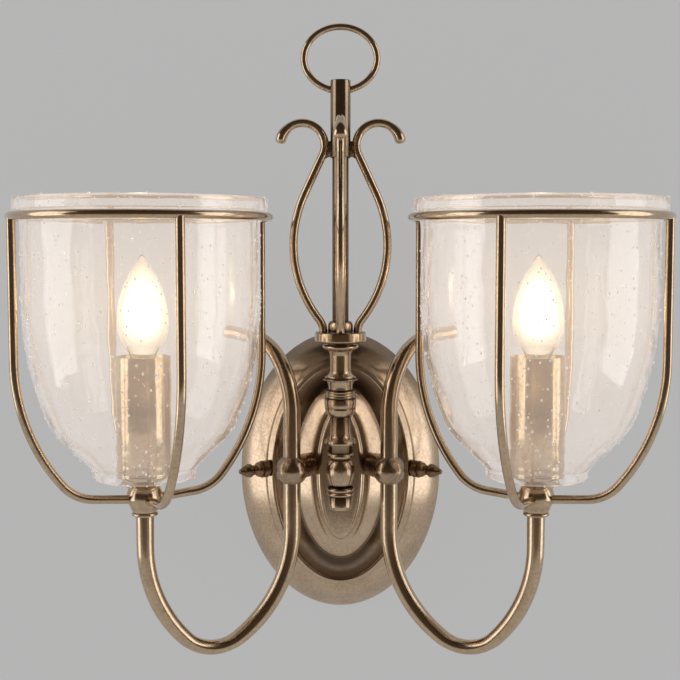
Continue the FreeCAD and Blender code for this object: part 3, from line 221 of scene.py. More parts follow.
def make_world():
    world = bpy.data.worlds.new("studio")
    world.use_nodes = True
    tree = world.node_tree
    ray = add_node(tree, "ShaderNodeTexCoord")
    split = add_node(tree, "ShaderNodeSeparateXYZ", {0: ray.outputs["Generated"]})
    height = add_node(tree, "ShaderNodeMapRange", {"Value": split.outputs["Z"], "From Min": -1.0})
    room = add_node(tree, "ShaderNodeValToRGB", {"Fac": height.outputs["Result"]})
    room.color_ramp.elements[0].color = (*ROOM_BELOW, 1)
    room.color_ramp.elements[1].color = (*ROOM_ABOVE, 1)
    room.color_ramp.elements.new(0.5).color = (*ROOM_LEVEL, 1)
    rays = add_node(tree, "ShaderNodeLightPath")
    colour = mixed(tree, rays.outputs["Is Glossy Ray"], (*DAYLIGHT, 1), room.outputs["Color"])
    fill(tree, tree.nodes["Background"], {"Color": colour})
    scene.world = world


def make_softbox(name, place):
    light = bpy.data.lights.new(name, "AREA")
    light.shape = "RECTANGLE"
    light.size, light.size_y, light.energy = SOFTBOX_WIDE, SOFTBOX_TALL, SOFTBOX_WATTS
    lamp = bpy.data.objects.new(name, light)
    lamp.location = place
    lamp.rotation_euler = (SOFTBOX_AIM - place).to_track_quat("-Z", "Y").to_euler()
    scene.collection.objects.link(lamp)


make_world()
for name, side in SIDES.items():
    make_softbox(f"softbox_{name}", Vector((SOFTBOX_ACROSS * side, SOFTBOX_DEPTH, SOFTBOX_UP)))
print("softboxes", len(SIDES))

# %% [markdown]
# ## Finishes
# Antique brass is polished brass with a brown lacquer that is uneven and finely brushed. Two effects
# are shared by several metals, so each is a node group. `patina` mixes the lacquer's colours with
# noise, darkens grooves and the places where shade is painted, and dulls the clear coat there.
# `fine_brush` gives a normal with hair-fine scratches.

# %% Shared effects: patina and fine brushing
def group_with(name, inputs, outputs):
    group = bpy.data.node_groups.new(name, "ShaderNodeTree")
    for socket, kind, value in inputs:
        made = group.interface.new_socket(socket, in_out="INPUT", socket_type=kind)
        made.default_value = value
    for socket, kind in outputs:
        group.interface.new_socket(socket, in_out="OUTPUT", socket_type=kind)
    return group, group.nodes.new("NodeGroupInput"), group.nodes.new("NodeGroupOutput")


# Brown where lacquer gathers in grooves, also used as painted shade on the plate and the arm balls.
GROOVE_AND_SHADE_BROWN = (0.085, 0.055, 0.035, 1)
FINE_PER_CLOUD = 9.0                    # how much finer the second noise is
THIN_LACQUER, THICK_LACQUER = 0.12, 0.42    # the noise values between which the colour deepens
BUMP_HEIGHT = 0.0001


def make_patina_group():
    """Uneven brown lacquer over brass, thickest in grooves, plus painted shade where a mesh carries it.
    Where either is dark, the clear coat is dulled.
    """
    group, entry, leave = group_with("patina", [
        ("Bright", "NodeSocketColor", (0.8, 0.65, 0.48, 1)),
        ("Dark", "NodeSocketColor", (0.5, 0.36, 0.22, 1)),
        ("Scale", "NodeSocketFloat", 60.0), ("Amount", "NodeSocketFloat", 0.5),
        ("Groove", "NodeSocketFloat", 0.0), ("Rough", "NodeSocketFloat", 0.2),
        ("Rough Spread", "NodeSocketFloat", 0.1), ("Coat", "NodeSocketFloat", 0.0)],
        [("Color", "NodeSocketColor"), ("Roughness", "NodeSocketFloat"), ("Coat", "NodeSocketFloat")])
    given = entry.outputs
    place = add_node(group, "ShaderNodeTexCoord").outputs["Object"]
    cloudy = add_node(group, "ShaderNodeTexNoise", {
        "Vector": place, "Scale": given["Scale"], "Detail": 4.0, "Roughness": 0.6})
    fine = add_node(group, "ShaderNodeTexNoise", {
        "Vector": place, "Scale": maths(group, "MULTIPLY", given["Scale"], FINE_PER_CLOUD), "Detail": 2.0})
    both = maths(group, "MULTIPLY", cloudy.outputs["Fac"], fine.outputs["Fac"])
    spread = add_node(group, "ShaderNodeMapRange", {
        "Value": both, "From Min": THIN_LACQUER, "From Max": THICK_LACQUER})
    amount = maths(group, "MULTIPLY", spread.outputs["Result"], given["Amount"])
    brass = mixed(group, amount, given["Bright"], given["Dark"])
    polish = maths(group, "SUBTRACT", 1.0, given["Groove"], use_clamp=True)
    fill(group, leave, {
        "Color": mixed(group, given["Groove"], brass, GROOVE_AND_SHADE_BROWN),
        "Roughness": maths(group, "MULTIPLY_ADD", amount, given["Rough Spread"], given["Rough"]),
        "Coat": maths(group, "MULTIPLY", polish, given["Coat"])})
    return group


def make_brush_group():
    """Hair-fine scratches, stretched along one direction."""
    group, entry, leave = group_with("fine_brush", [
        ("Stretch", "NodeSocketVector", (900.0, 900.0, 40.0)), ("Depth", "NodeSocketFloat", 0.1)],
        [("Normal", "NodeSocketVector")])
    place = add_node(group, "ShaderNodeTexCoord").outputs["Object"]
    stretch = add_node(group, "ShaderNodeVectorMath", {0: place, 1: entry.outputs["Stretch"]},
                       operation="MULTIPLY")
    hair = add_node(group, "ShaderNodeTexNoise", {
        "Vector": stretch.outputs[0], "Scale": 1.0, "Detail": 3.0})
    bump = add_node(group, "ShaderNodeBump", {
        "Strength": entry.outputs["Depth"], "Distance": BUMP_HEIGHT, "Height": hair.outputs["Fac"]})
    fill(group, leave, {"Normal": bump.outputs["Normal"]})
    return group


PATINA = make_patina_group()
FINE_BRUSH = make_brush_group()
print("shared effects", PATINA.name, FINE_BRUSH.name)

# %% [markdown]
# Each metal sets its own two tones, gloss and brushing on the shared effects. Polished pieces also carry a
# thin clear coat. An attribute, worked out for each mesh later, says where lacquer gathers. On the plate
# and the arm balls it also says where shade is painted.

# %% Metals
COAT_ROUGHNESS = 0.12


def metal(name, bright, dark, rough, rough_spread, amount=0.6, scale=60.0, stretch=(900, 900, 40),
          depth=0.12, coat=0.0):
    material, tree, shader = new_material(name)
    groove = add_node(tree, "ShaderNodeAttribute", attribute_name="groove")
    patina = add_node(tree, "ShaderNodeGroup", {
        "Bright": (*bright, 1), "Dark": (*dark, 1), "Scale": scale, "Amount": amount, "Rough": rough,
        "Rough Spread": rough_spread, "Coat": coat, "Groove": groove.outputs["Fac"]}, node_tree=PATINA)
    brush = add_node(tree, "ShaderNodeGroup", {"Stretch": stretch, "Depth": depth}, node_tree=FINE_BRUSH)
    fill(tree, shader, {
        "Base Color": patina.outputs["Color"], "Roughness": patina.outputs["Roughness"],
        "Normal": brush.outputs["Normal"], "Metallic": 1.0, "Coat Roughness": COAT_ROUGHNESS,
        "Coat Weight": patina.outputs["Coat"] if coat else 0.0})
    return material


ANTIQUE_BRASS = metal("antique_brass", (0.63, 0.48, 0.32), (0.36, 0.235, 0.13), 0.15, 0.08, coat=0.8)
PLATE_BRASS = metal("plate_brass", (0.63, 0.485, 0.34), (0.37, 0.245, 0.145), 0.20, 0.07,
                    stretch=(60, 60, 900), coat=0.6)
SATIN_BRASS = metal("satin_brass", (0.72, 0.56, 0.37), (0.33, 0.205, 0.10), 0.17, 0.05,
                    stretch=(1500, 1500, 30), depth=0.3)
BALL_BRASS = metal("ball_brass", (0.50, 0.375, 0.26), (0.27, 0.175, 0.10), 0.19, 0.08,
                   amount=0.8, coat=0.15)
# Dark brass is brass painted dark as shade, for the brazes, spacers, standoff and washers that sit in shade
# between or behind other parts. The nuts take the same dark tone.
DARK_BRASS = metal("dark_brass", (0.31, 0.205, 0.12), (0.15, 0.09, 0.05), 0.24, 0.10)
ZINC_STEEL = metal("zinc_steel", (0.62, 0.63, 0.64), (0.48, 0.49, 0.50), 0.35, 0.1, scale=90.0)
NICKEL = metal("nickel_cap", (0.75, 0.73, 0.69), (0.6, 0.57, 0.52), 0.25, 0.1)
TERMINAL_BRASS = metal("terminal_brass", (0.78, 0.6, 0.32), (0.6, 0.45, 0.22), 0.3, 0.1)
print("metals ready")

# %% [markdown]
# The lampholders and the terminal block are moulded plastic. One fine noise gives both its slightly
# uneven tone and the grain of its surface.

# %% Plastics
GRAIN_SCALE, GRAIN_STRENGTH = 900.0, 0.2


def plastic(name, colour, rough, speckle):
    """Moulded plastic with a fine grain that shows in its tone and its surface."""
    material, tree, shader = new_material(name)
    place = add_node(tree, "ShaderNodeTexCoord").outputs["Object"]
    grain = add_node(tree, "ShaderNodeTexNoise", {"Vector": place, "Scale": GRAIN_SCALE, "Detail": 2.0})
    bump = add_node(tree, "ShaderNodeBump", {
        "Height": grain.outputs["Fac"], "Strength": GRAIN_STRENGTH, "Distance": BUMP_HEIGHT})
    tone = add_node(tree, "ShaderNodeValToRGB", {"Fac": grain.outputs["Fac"]})
    for element, share in zip(tone.color_ramp.elements, (1 - speckle, 1 + speckle)):
        element.color = (*[min(1.0, c * share) for c in colour], 1)
    fill(tree, shader, {"Normal": bump.outputs["Normal"], "Base Color": tone.outputs["Color"],
                        "Roughness": rough})
    return material


HOLDER_BLACK = plastic("lampholder_black", (0.03, 0.028, 0.026), 0.45, 0.2)
TERMINAL_WHITE = plastic("terminal_plastic", (0.8, 0.79, 0.76), 0.5, 0.05)
print("plastics ready")

# %% [markdown]
# Seeded glass is clear glass with small bubbles. Its uneven surface is a low bump. The light that it
# would scatter from the lit bulb is painted on as a glow: a faint even painted glow, with a painted halo
# near the bulb's level. The lit bulb is the same glass with a far stronger halo, brightest where the
# surface faces the eye, so that its edge is soft. The bubbles are real shapes, made later, with a
# painted glint of their own.

# %% Glass and light
RIPPLE_SCALE, RIPPLE_HEIGHT = 45.0, 0.002
GLASS_BEND, LIGHT_BEND = 1.45, 1.01
GLOW_RISE = 0.032
GLOW_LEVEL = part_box("left_candle_tube")[1].z + GLOW_RISE


def glass(name, colour, clear_share, even_glow, halo=(0, 0, 0), halo_reach=1.0, focus=1.0, ripple=0.0,
          bend=GLASS_BEND):
    """Clear glass that emits an even glow, and a halo round the lit lamp at the glow's level. On the bell
    and the bubbles this glow is painted light.
    """
    material, tree, shader = new_material(name)
    place = add_node(tree, "ShaderNodeTexCoord").outputs["Object"]
    if ripple:
        noise = add_node(tree, "ShaderNodeTexNoise", {
            "Vector": place, "Scale": RIPPLE_SCALE, "Detail": 1.0})
        bump = add_node(tree, "ShaderNodeBump", {
            "Height": noise.outputs["Fac"], "Strength": ripple, "Distance": RIPPLE_HEIGHT})
        fill(tree, shader, {"Normal": bump.outputs["Normal"]})
    split = add_node(tree, "ShaderNodeSeparateXYZ", {0: place})
    offset = maths(tree, "DIVIDE", maths(tree, "SUBTRACT", split.outputs["Z"], GLOW_LEVEL), halo_reach)
    near = maths(tree, "EXPONENT", maths(tree, "MULTIPLY", maths(tree, "POWER", offset, 2.0), -1.0))
    facing = add_node(tree, "ShaderNodeLayerWeight", {"Blend": 0.5})
    front = maths(tree, "POWER", maths(tree, "SUBTRACT", 1.0, facing.outputs["Facing"]), focus)
    share = maths(tree, "MULTIPLY", near, front)
    fill(tree, shader, {
        "Emission Color": mixed(tree, share, (*even_glow, 1), (*halo, 1)), "Emission Strength": 1.0,
        "Base Color": (*colour, 1), "Roughness": 0.0, "Transmission Weight": clear_share, "IOR": bend})
    return material


# Painted glow: the bell emits a faint even glow and a halo at the bulb's level.
SEEDED_GLASS = glass("seeded_glass", (0.985, 0.975, 0.965), 0.96, (0.068, 0.057, 0.049),
                     (0.105, 0.085, 0.067), 0.045, 2.0, ripple=0.30)
# Painted glint: each bubble emits a pale glow, so that it shows as a bright speck.
SEED_GLASS = glass("seed_glass", (1.0, 0.99, 0.97), 0.5, (0.40, 0.37, 0.34))
BULB_GLASS = glass("bulb_glass", (1.0, 0.98, 0.94), 0.98, (0.03, 0.02, 0.01),
                   (0.34, 0.28, 0.19), 0.020, 2.0)
BULB_GLOW = glass("bulb_glow", (1.0, 1.0, 1.0), 1.0, (0.0, 0.0, 0.0), (3.0, 2.7, 2.1), 0.0125, 5.0,
                  bend=LIGHT_BEND)
print("glow level", round(GLOW_LEVEL, 4))

# %% [markdown]
# ## Turned pieces
# A turned piece is an outline spun round an axis, so one Geometry Nodes tree makes them all. A grid has
# one row of points for each angle and one column for each corner of the outline. Every point looks up
# its half width, half depth and height from the outline by its index, and is placed on an oval. The two
# halves are equal for a round piece, and differ for the backplate.

# %% The turning tree
def geometry_tree(name, inputs):
    tree = bpy.data.node_groups.new(name, "GeometryNodeTree")
    tree.interface.new_socket("Geometry", in_out="INPUT", socket_type="NodeSocketGeometry")
    for socket, kind in inputs:
        tree.interface.new_socket(socket, in_out="INPUT", socket_type=kind)
    tree.interface.new_socket("Geometry", in_out="OUTPUT", socket_type="NodeSocketGeometry")
    return tree, tree.nodes.new("NodeGroupInput"), tree.nodes.new("NodeGroupOutput")


def finish_tree(tree, entry, leave, geometry):
    """Every tree ends in Realize Instances and Set Material."""
    real = add_node(tree, "GeometryNodeRealizeInstances", {0: geometry})
    paint = add_node(tree, "GeometryNodeSetMaterial", {
        "Geometry": real.outputs[0], "Material": entry.outputs["Material"]})
    fill(tree, leave, {"Geometry": paint.outputs["Geometry"]})
    return tree


WELD, TINY_EDGE = 1e-6, 1e-7


def make_turning_tree():
    tree, entry, leave = geometry_tree("turning", [
        ("Segments", "NodeSocketInt"), ("Material", "NodeSocketMaterial")])
    outline, segments = entry.outputs["Geometry"], entry.outputs["Segments"]
    corners = add_node(tree, "GeometryNodeAttributeDomainSize", {0: outline}).outputs["Point Count"]
    grid = add_node(tree, "GeometryNodeMeshGrid", {
        "Vertices X": maths(tree, "ADD", segments, 1), "Vertices Y": corners})
    index = add_node(tree, "GeometryNodeInputIndex").outputs[0]
    row = maths(tree, "FLOOR", maths(tree, "DIVIDE", index, corners))
    corner = maths(tree, "SUBTRACT", index, maths(tree, "MULTIPLY", row, corners))
    look = add_node(tree, "GeometryNodeSampleIndex", {"Geometry": outline, "Index": corner},
                    data_type="FLOAT_VECTOR")
    place = add_node(tree, "GeometryNodeInputPosition")
    tree.links.new(place.outputs[0], enabled(look.inputs, "Value"))
    split = add_node(tree, "ShaderNodeSeparateXYZ", {0: enabled(look.outputs, "Value")})
    turn = maths(tree, "MULTIPLY", maths(tree, "DIVIDE", row, segments), 2 * math.pi)
    spun = add_node(tree, "ShaderNodeCombineXYZ", {
        "X": maths(tree, "MULTIPLY", split.outputs["X"], maths(tree, "COSINE", turn)),
        "Y": maths(tree, "MULTIPLY", split.outputs["Y"], maths(tree, "SINE", turn)),
        "Z": split.outputs["Z"]})
    move = add_node(tree, "GeometryNodeSetPosition", {
        "Geometry": grid.outputs["Mesh"], "Position": spun.outputs[0]})
    weld = add_node(tree, "GeometryNodeMergeByDistance", {
        "Geometry": move.outputs["Geometry"], "Distance": WELD})
    return finish_tree(tree, entry, leave, weld.outputs["Geometry"])


TURNING = make_turning_tree()


def set_input(modifier, name, value):
    """A modifier's input is set by its socket's identifier."""
    for item in modifier.node_group.interface.items_tree:
        if item.name == name and item.in_out == "INPUT":
            modifier[item.identifier] = value
            return
    raise KeyError(name)


def grown(name, source, tree, **values):
    """Run a Geometry Nodes tree on a source object and return the result as a plain mesh."""
    scene.collection.objects.link(source)
    modifier = source.modifiers.new(tree.name, "NODES")
    modifier.node_group = tree
    for key, value in values.items():
        set_input(modifier, key.replace("_", " ").title(), value)
    bpy.context.view_layer.update()
    evaluated = source.evaluated_get(bpy.context.evaluated_depsgraph_get())
    mesh = bpy.data.meshes.new_from_object(evaluated)
    source.modifiers.remove(modifier)
    bpy.data.objects.remove(source)
    mesh.name = name
    return mesh


print("turning tree", len(TURNING.nodes), "nodes")

# %% [markdown]
# A raw mesh is cleaned before it is used: doubles are merged, its faces turned outwards, and edges past
# an angle kept sharp. Lacquer gathers in hollows and at the joints between pieces, so each brass mesh
# stores that as `groove`, from 0 to 1, for the patina to read.

# %% Clean meshes, grooves and placing
SHARP_ANGLE, BAR_SHARP_ANGLE = math.radians(32), math.radians(50)
GROOVE_DEPTH, GROOVE_REACH = 5.0, 0.0011


def close_and_shade(mesh, sharp=SHARP_ANGLE):
    """Merge doubles, drop folded faces, turn faces outwards and shade smooth up to a sharp edge."""
    work = bmesh.new()
    work.from_mesh(mesh)
    bmesh.ops.remove_doubles(work, verts=work.verts, dist=WELD)
    bmesh.ops.dissolve_degenerate(work, edges=work.edges, dist=TINY_EDGE)
    bmesh.ops.delete(work, geom=[e for e in work.edges if not e.link_faces], context="EDGES")
    bmesh.ops.recalc_face_normals(work, faces=work.faces)
    work.to_mesh(mesh)
    work.free()
    mesh.shade_smooth()
    mesh.set_sharp_from_angle(angle=sharp)
    return mesh


def clamped(value):
    return min(1.0, max(0.0, value))


def store_groove_and_shade(mesh, values):
    mesh.attributes.new("groove", "FLOAT", "POINT").data.foreach_set("value", [clamped(v) for v in values])


def mark_grooves(mesh, ends):
    """Darken each point by how hollow the metal is there and, for a stacked piece, near its two ends."""
    work = bmesh.new()
    work.from_mesh(mesh)
    work.normal_update()
    levels = [v.co.z for v in work.verts]
    foot, top = min(levels), max(levels)
    values = []
    for vertex in work.verts:
        spokes = [(edge.other_vert(vertex).co - vertex.co).normalized() for edge in vertex.link_edges]
        hollow = GROOVE_DEPTH * sum(vertex.normal.dot(spoke) for spoke in spokes) / len(spokes)
        joint = 1 - min(vertex.co.z - foot, top - vertex.co.z) / GROOVE_REACH if ends else 0.0
        values.append(max(hollow, joint))
    work.free()
    store_groove_and_shade(mesh, values)


def put(name, mesh, body, slot, *nodes, ends=False):
    """Make a piece of the lamp from a finished mesh: it rides on a body and stands for CAD nodes."""
    slot = slot.split(".")[0]
    if slot in ("antique_brass", "satin_brass") and "groove" not in mesh.attributes:
        mark_grooves(mesh, ends)
    piece = bpy.data.objects.new(name, mesh)
    scene.collection.objects.link(piece)
    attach(piece, body)
    if nodes:
        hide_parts(*nodes)
    return piece


print("edges stay sharp past", round(math.degrees(SHARP_ANGLE)), "degrees")

# %% [markdown]
# Outlines are written as a turner reads them: straight runs and bends between a few corners. Real edges
# are never quite sharp, so each corner gets a small bevel, which also catches a thin highlight.

# %% Outlines: straight runs, bends and eased corners
BEND_STEP, FINE_BEND_STEP = math.radians(7), math.radians(3)
EASE_FROM, EASE_SHARE, EASE_PULL = math.radians(30), 0.4, 1.2
NO_LENGTH, ON_AXIS = 1e-9, 1e-6


def bend_points(start, end, radius, step=BEND_STEP):
    """Points of the arc from start to end; a positive radius turns left on the way."""
    chord = end - start
    half = chord.length / 2
    centre = (start + end) / 2 + Vector((-chord.y, chord.x)).normalized() * math.copysign(
        math.sqrt(max(radius * radius - half * half, 0.0)), radius)
    spoke = start - centre
    turn = 2 * math.asin(min(1.0, half / abs(radius))) * (1 if radius > 0 else -1)
    count = max(2, int(abs(turn) / step) + 1)
    points = []
    for number in range(1, count):
        angle = turn * number / count
        points.append(centre + Matrix.Rotation(angle, 2) @ spoke)
    return points


def eased(points, reach):
    """Round every sharp corner of a closed outline with a small three-point bevel."""
    result = []
    count = len(points)
    for number, point in enumerate(points):
        before, after = points[number - 1], points[(number + 1) % count]
        back, ahead = before - point, after - point
        plain = back.length < NO_LENGTH or ahead.length < NO_LENGTH or point.x < ON_AXIS
        if plain or abs(math.pi - back.angle(ahead)) < EASE_FROM:
            result.append(point)
            continue
        cut = min(reach, back.length * EASE_SHARE, ahead.length * EASE_SHARE)
        first, last = point + back.normalized() * cut, point + ahead.normalized() * cut
        result += [first, (first + last + point * EASE_PULL) / (2 + EASE_PULL), last]
    return result


def spin(name, corners, material, segments, sharp=SHARP_ANGLE):
    """Spin a closed outline of (half width, half depth, height) corners in metres about +Z."""
    source = bpy.data.meshes.new(f"{name}_outline")
    source.from_pydata(corners + corners[:1], [(n, n + 1) for n in range(len(corners))], [])
    mesh = grown(name, bpy.data.objects.new(f"{name}_outline", source), TURNING, segments=segments,
                 material=material)
    return close_and_shade(mesh, sharp)


def turned_mesh(name, outline, material, segments=72, ease=0.25):
    """Spin an outline of (radius, height[, bend]) corners in millimetres about an upright axis."""
    points = []
    for number, corner in enumerate(outline):
        start = Vector(corner[:2])
        end = Vector(outline[(number + 1) % len(outline)][:2])
        points.append(start)
        if len(corner) > 2:
            points += bend_points(start, end, corner[2])
    return spin(name, [(p.x * MM, p.x * MM, p.y * MM) for p in eased(points, ease)], material, segments)


def moved(mesh, place, direction=None):
    """Bring a mesh made about +Z to a place, and turn its +Z to a direction."""
    turn = Matrix() if direction is None else direction.to_track_quat("Z", "Y").to_matrix().to_4x4()
    mesh.transform(Matrix.Translation(place) @ turn)
    return mesh


def joined(name, meshes):
    """One mesh from several, which keep their own materials."""
    work = bmesh.new()
    materials = []
    for mesh in meshes:
        first = len(work.faces)
        work.from_mesh(mesh)
        work.faces.ensure_lookup_table()
        materials += [m for m in mesh.materials if m not in materials]
        for face in work.faces[first:]:
            face.material_index = materials.index(mesh.materials[face.material_index])
    result = bpy.data.meshes.new(name)
    work.to_mesh(result)
    work.free()
    for material in materials:
        result.materials.append(material)
    result.set_sharp_from_angle(angle=SHARP_ANGLE)
    return result


print("outline helpers ready")

# %% [markdown]
# ## Pieces that follow a path
# Arms, scrolls, rods, rings and the loop are round bars along a route. A second tree turns a line of
# points into a bar: each point carries its radius, and a share by which the bar is pressed flat there,
# as a tube flattens on the inside and outside of a tight bend.

# %% The bar tree
def named(tree, name):
    """A number that is stored on the points under a name."""
    node = add_node(tree, "GeometryNodeInputNamedAttribute", {"Name": name}, data_type="FLOAT")
    return node.outputs["Attribute"]


def vector_maths(tree, operation, first, second=None, scale=None):
    operands = {0: first, 1: second, "Scale": scale}
    used = {key: value for key, value in operands.items() if value is not None}
    node = add_node(tree, "ShaderNodeVectorMath", used, operation=operation)
    return node.outputs["Value" if operation == "DOT_PRODUCT" else "Vector"]


def captured(tree, geometry, items):
    """Store fields on the points, so that they are still known after the geometry changes."""
    node = add_node(tree, "GeometryNodeCaptureAttribute", {"Geometry": geometry}, domain="POINT")
    for kind, label, value in items:
        node.capture_items.new(kind, label)
        tree.links.new(value, node.inputs[label])
    return node.outputs["Geometry"], [node.outputs[label] for kind, label, value in items]


def make_bar_tree():
    tree, entry, leave = geometry_tree("bar", [
        ("Sides", "NodeSocketInt"), ("Plane", "NodeSocketVector"), ("Cyclic", "NodeSocketBool"),
        ("Material", "NodeSocketMaterial")])
    given = entry.outputs
    line = add_node(tree, "GeometryNodeMeshToCurve", {"Mesh": given["Geometry"]})
    place = add_node(tree, "GeometryNodeInputPosition").outputs[0]
    tangent = add_node(tree, "GeometryNodeInputTangent").outputs[0]
    spine, (centre, along, thick, flat) = captured(tree, line.outputs["Curve"], [
        ("VECTOR", "Centre", place), ("VECTOR", "Along", tangent),
        ("FLOAT", "Thick", named(tree, "thick")), ("FLOAT", "Flat", named(tree, "flat"))])
    circle = add_node(tree, "GeometryNodeCurvePrimitiveCircle", {
        "Radius": 1.0, "Resolution": given["Sides"]})
    caps = add_node(tree, "FunctionNodeBooleanMath", {0: given["Cyclic"]}, operation="NOT")
    solid = add_node(tree, "GeometryNodeCurveToMesh", {
        "Curve": spine, "Profile Curve": circle.outputs["Curve"], "Fill Caps": caps.outputs[0]})
    spoke = vector_maths(tree, "SUBTRACT", place, centre)
    inward = vector_maths(tree, "NORMALIZE", vector_maths(tree, "CROSS_PRODUCT", given["Plane"], along))
    press = maths(tree, "MULTIPLY", vector_maths(tree, "DOT_PRODUCT", spoke, inward),
                  maths(tree, "SUBTRACT", flat, 1.0))
    pressed = vector_maths(tree, "ADD", spoke, vector_maths(tree, "SCALE", inward, scale=press))
    sized = vector_maths(tree, "SCALE", pressed, scale=thick)
    move = add_node(tree, "GeometryNodeSetPosition", {
        "Geometry": solid.outputs["Mesh"], "Position": vector_maths(tree, "ADD", centre, sized)})
    return finish_tree(tree, entry, leave, move.outputs["Geometry"])


BAR = make_bar_tree()


def bar_mesh(name, points, thick, material, plane=(0, 1, 0), flat=None, sides=28, cyclic=False):
    """A bar through points in metres; thick is its radius in metres, or one for each point."""
    count = len(points)
    thicks = thick if isinstance(thick, list) else [thick] * count
    source = bpy.data.meshes.new(f"{name}_route")
    edges = [(n, n + 1) for n in range(count - 1)] + ([(count - 1, 0)] if cyclic else [])
    source.from_pydata([tuple(p) for p in points], edges, [])
    for label, values in (("thick", thicks), ("flat", flat or [1.0] * count)):
        source.attributes.new(label, "FLOAT", "POINT").data.foreach_set("value", values)
    mesh = grown(name, bpy.data.objects.new(f"{name}_route", source), BAR, sides=sides, plane=plane,
                 cyclic=cyclic, material=material)
    for label in ("thick", "flat"):
        if label in mesh.attributes:
            mesh.attributes.remove(mesh.attributes[label])
    return close_and_shade(mesh, BAR_SHARP_ANGLE)


print("bar tree", len(BAR.nodes), "nodes")

# %% [markdown]
# Every bar of this lamp lies in one upright plane, so its route is walked on paper, as a bender works:
# straight runs and bends by an angle, each starting along the last one. The plane is turned to its
# bearing afterwards.

# %% Routes in an upright plane
class Route:
    """A flat path of tangent runs and bends in millimetres; a heading of 0 is straight up."""

    def __init__(self, out, up, heading):
        self.out, self.up, self.heading = out, up, math.radians(heading)
        self.points, self.press = [(out, up)], [1.0]

    def add(self, flat):
        self.points.append((self.out, self.up))
        self.press.append(flat)

    def run(self, length, flat=1.0, pitch=3.0):
        steps = max(1, round(length / pitch))
        for _ in range(steps):
            self.out += length / steps * math.sin(self.heading)
            self.up += length / steps * math.cos(self.heading)
            self.add(flat)
        return self

    def bend(self, radius, turn, flat=1.0, pitch=3.0):
        """Turn by an angle in degrees: positive turns outwards, away from straight up."""
        side = 1.0 if turn > 0 else -1.0
        centre_out = self.out + side * radius * math.cos(self.heading)
        centre_up = self.up - side * radius * math.sin(self.heading)
        first = self.heading
        steps = max(3, round(abs(turn) / pitch))
        for step in range(1, steps + 1):
            self.heading = first + math.radians(turn) * step / steps
            self.out = centre_out - side * radius * math.cos(self.heading)
            self.up = centre_up + side * radius * math.sin(self.heading)
            self.add(flat)
        return self

    def eased_press(self, reach=4):
        """The flattening, blended over neighbouring points so that it comes and goes gently."""
        last, near = len(self.press) - 1, range(-reach, reach + 1)
        return [sum(self.press[min(max(number + step, 0), last)] for step in near) / len(near)
                for number in range(last + 1)]

    def in_plane(self, azimuth, side, foot):
        """The route's points in metres, in the plane at a bearing from -Y towards a side."""
        across, depth = bearing(azimuth, side)
        return [foot + Vector((across * out, depth * out, up)) * MM for out, up in self.points]


def bearing(azimuth, side):
    return side * math.sin(math.radians(azimuth)), -math.cos(math.radians(azimuth))


def plane_normal(azimuth, side):
    across, depth = bearing(azimuth, side)
    return Vector((depth, -across, 0))


DOME_STEPS, DOME_TALL = (0.35, 0.65, 0.85, 0.97), 0.5


def rounded_end(points, radius):
    """Add a few narrowing points past a bar's last one, so that it closes in a soft dome."""
    end, ahead = points[-1], (points[-1] - points[-2]).normalized()
    thick = [radius] * len(points) + [radius * math.sqrt(1 - share * share) for share in DOME_STEPS]
    return points + [end + ahead * radius * DOME_TALL * share for share in DOME_STEPS], thick


print("routes ready")

# %% [markdown]
# ## Backplate
# The plate is a stack of ovals drawn in from the rim: a thin lip on the wall, a wide curved band, a
# narrow round bead, a sunk field, a raised terrace and a low crown. Each oval is inset by its own share
# along the height and the width, because the inner steps are slimmer ovals than the rim. Shade is
# painted dark into the sunk field and over the top of the band.

# %% Backplate sizes: each step is an inset and a height off the wall
PLATE_HALF_WIDTH, PLATE_HALF_HEIGHT = 67.0, 93.5
PLATE_WALL, PLATE_SHARP, PLATE_SEGMENTS = 1.2, math.radians(50), 192
PLATE_LIFT = 0.1    # the raised part sits a little above the middle of the rim
RIM_STEPS = [(0.0, 0.0), (0.0, 2.9), (0.1, 3.3), (0.35, 3.8)]
BAND_STEPS, BAND_BULGE, LIP_HEIGHT, SHOULDER_HEIGHT = 14, 1.0, 3.6, 19.0
SHOULDER_INSET, SHOULDER_LONG_INSET = 18.0, 16.0
BEAD_STEPS = [(0.5, 19.1), (1.1, 19.6), (2.2, 20.6), (3.3, 21.6), (4.0, 22.1), (4.6, 22.2), (5.2, 21.9),
              (5.9, 21.4)]
VALLEY_START, VALLEY_START_LONG, VALLEY_END, VALLEY_END_LONG = 24.4, 22.4, 36.9, 35.4
VALLEY_EDGE, VALLEY_RISE, VALLEY_DIP, VALLEY_STEPS = 21.2, 0.9, 0.7, 14
TERRACE_INSET, TERRACE_LONG_INSET = 37.6, 36.3
TERRACE_STEPS = [(0.0, 22.6), (0.5, 23.6), (1.2, 24.4), (3.0, 25.9), (5.0, 27.5), (7.0, 29.0), (8.6, 30.1),
                 (9.8, 30.9), (10.9, 31.5), (12.0, 31.85), (13.2, 32.0)]
CROWN_INSET, CROWN_LONG_INSET = 52.4, 50.5
CROWN_STEPS = [(-0.9, 32.1), (-0.5, 32.5), (0.0, 33.4), (0.7, 34.2), (1.7, 34.75), (3.0, 35.0)]
CROWN_HALFWAY, CROWN_HALFWAY_RISE, CROWN_MIDDLE_RISE = 0.5, 0.12, 0.16
print("plate", 2 * PLATE_HALF_WIDTH, "by", 2 * PLATE_HALF_HEIGHT, "mm")

# %% Backplate
# Painted shade: how dark the valley and the top of the band are painted, and where.
VALLEY_DARK, VALLEY_DARK_SPREAD, VALLEY_DARK_REACH, DOME_DARK_REACH = 0.95, 1.4, 0.16, 0.02
VALLEY_DARK_ABOVE = 19.5
TOP_DARK, TOP_DARK_START, TOP_DARK_REACH = 0.55, 0.42, 0.4


def ring_steps(inset, long_inset, steps):
    return [(inset + more, long_inset + more, height) for more, height in steps]


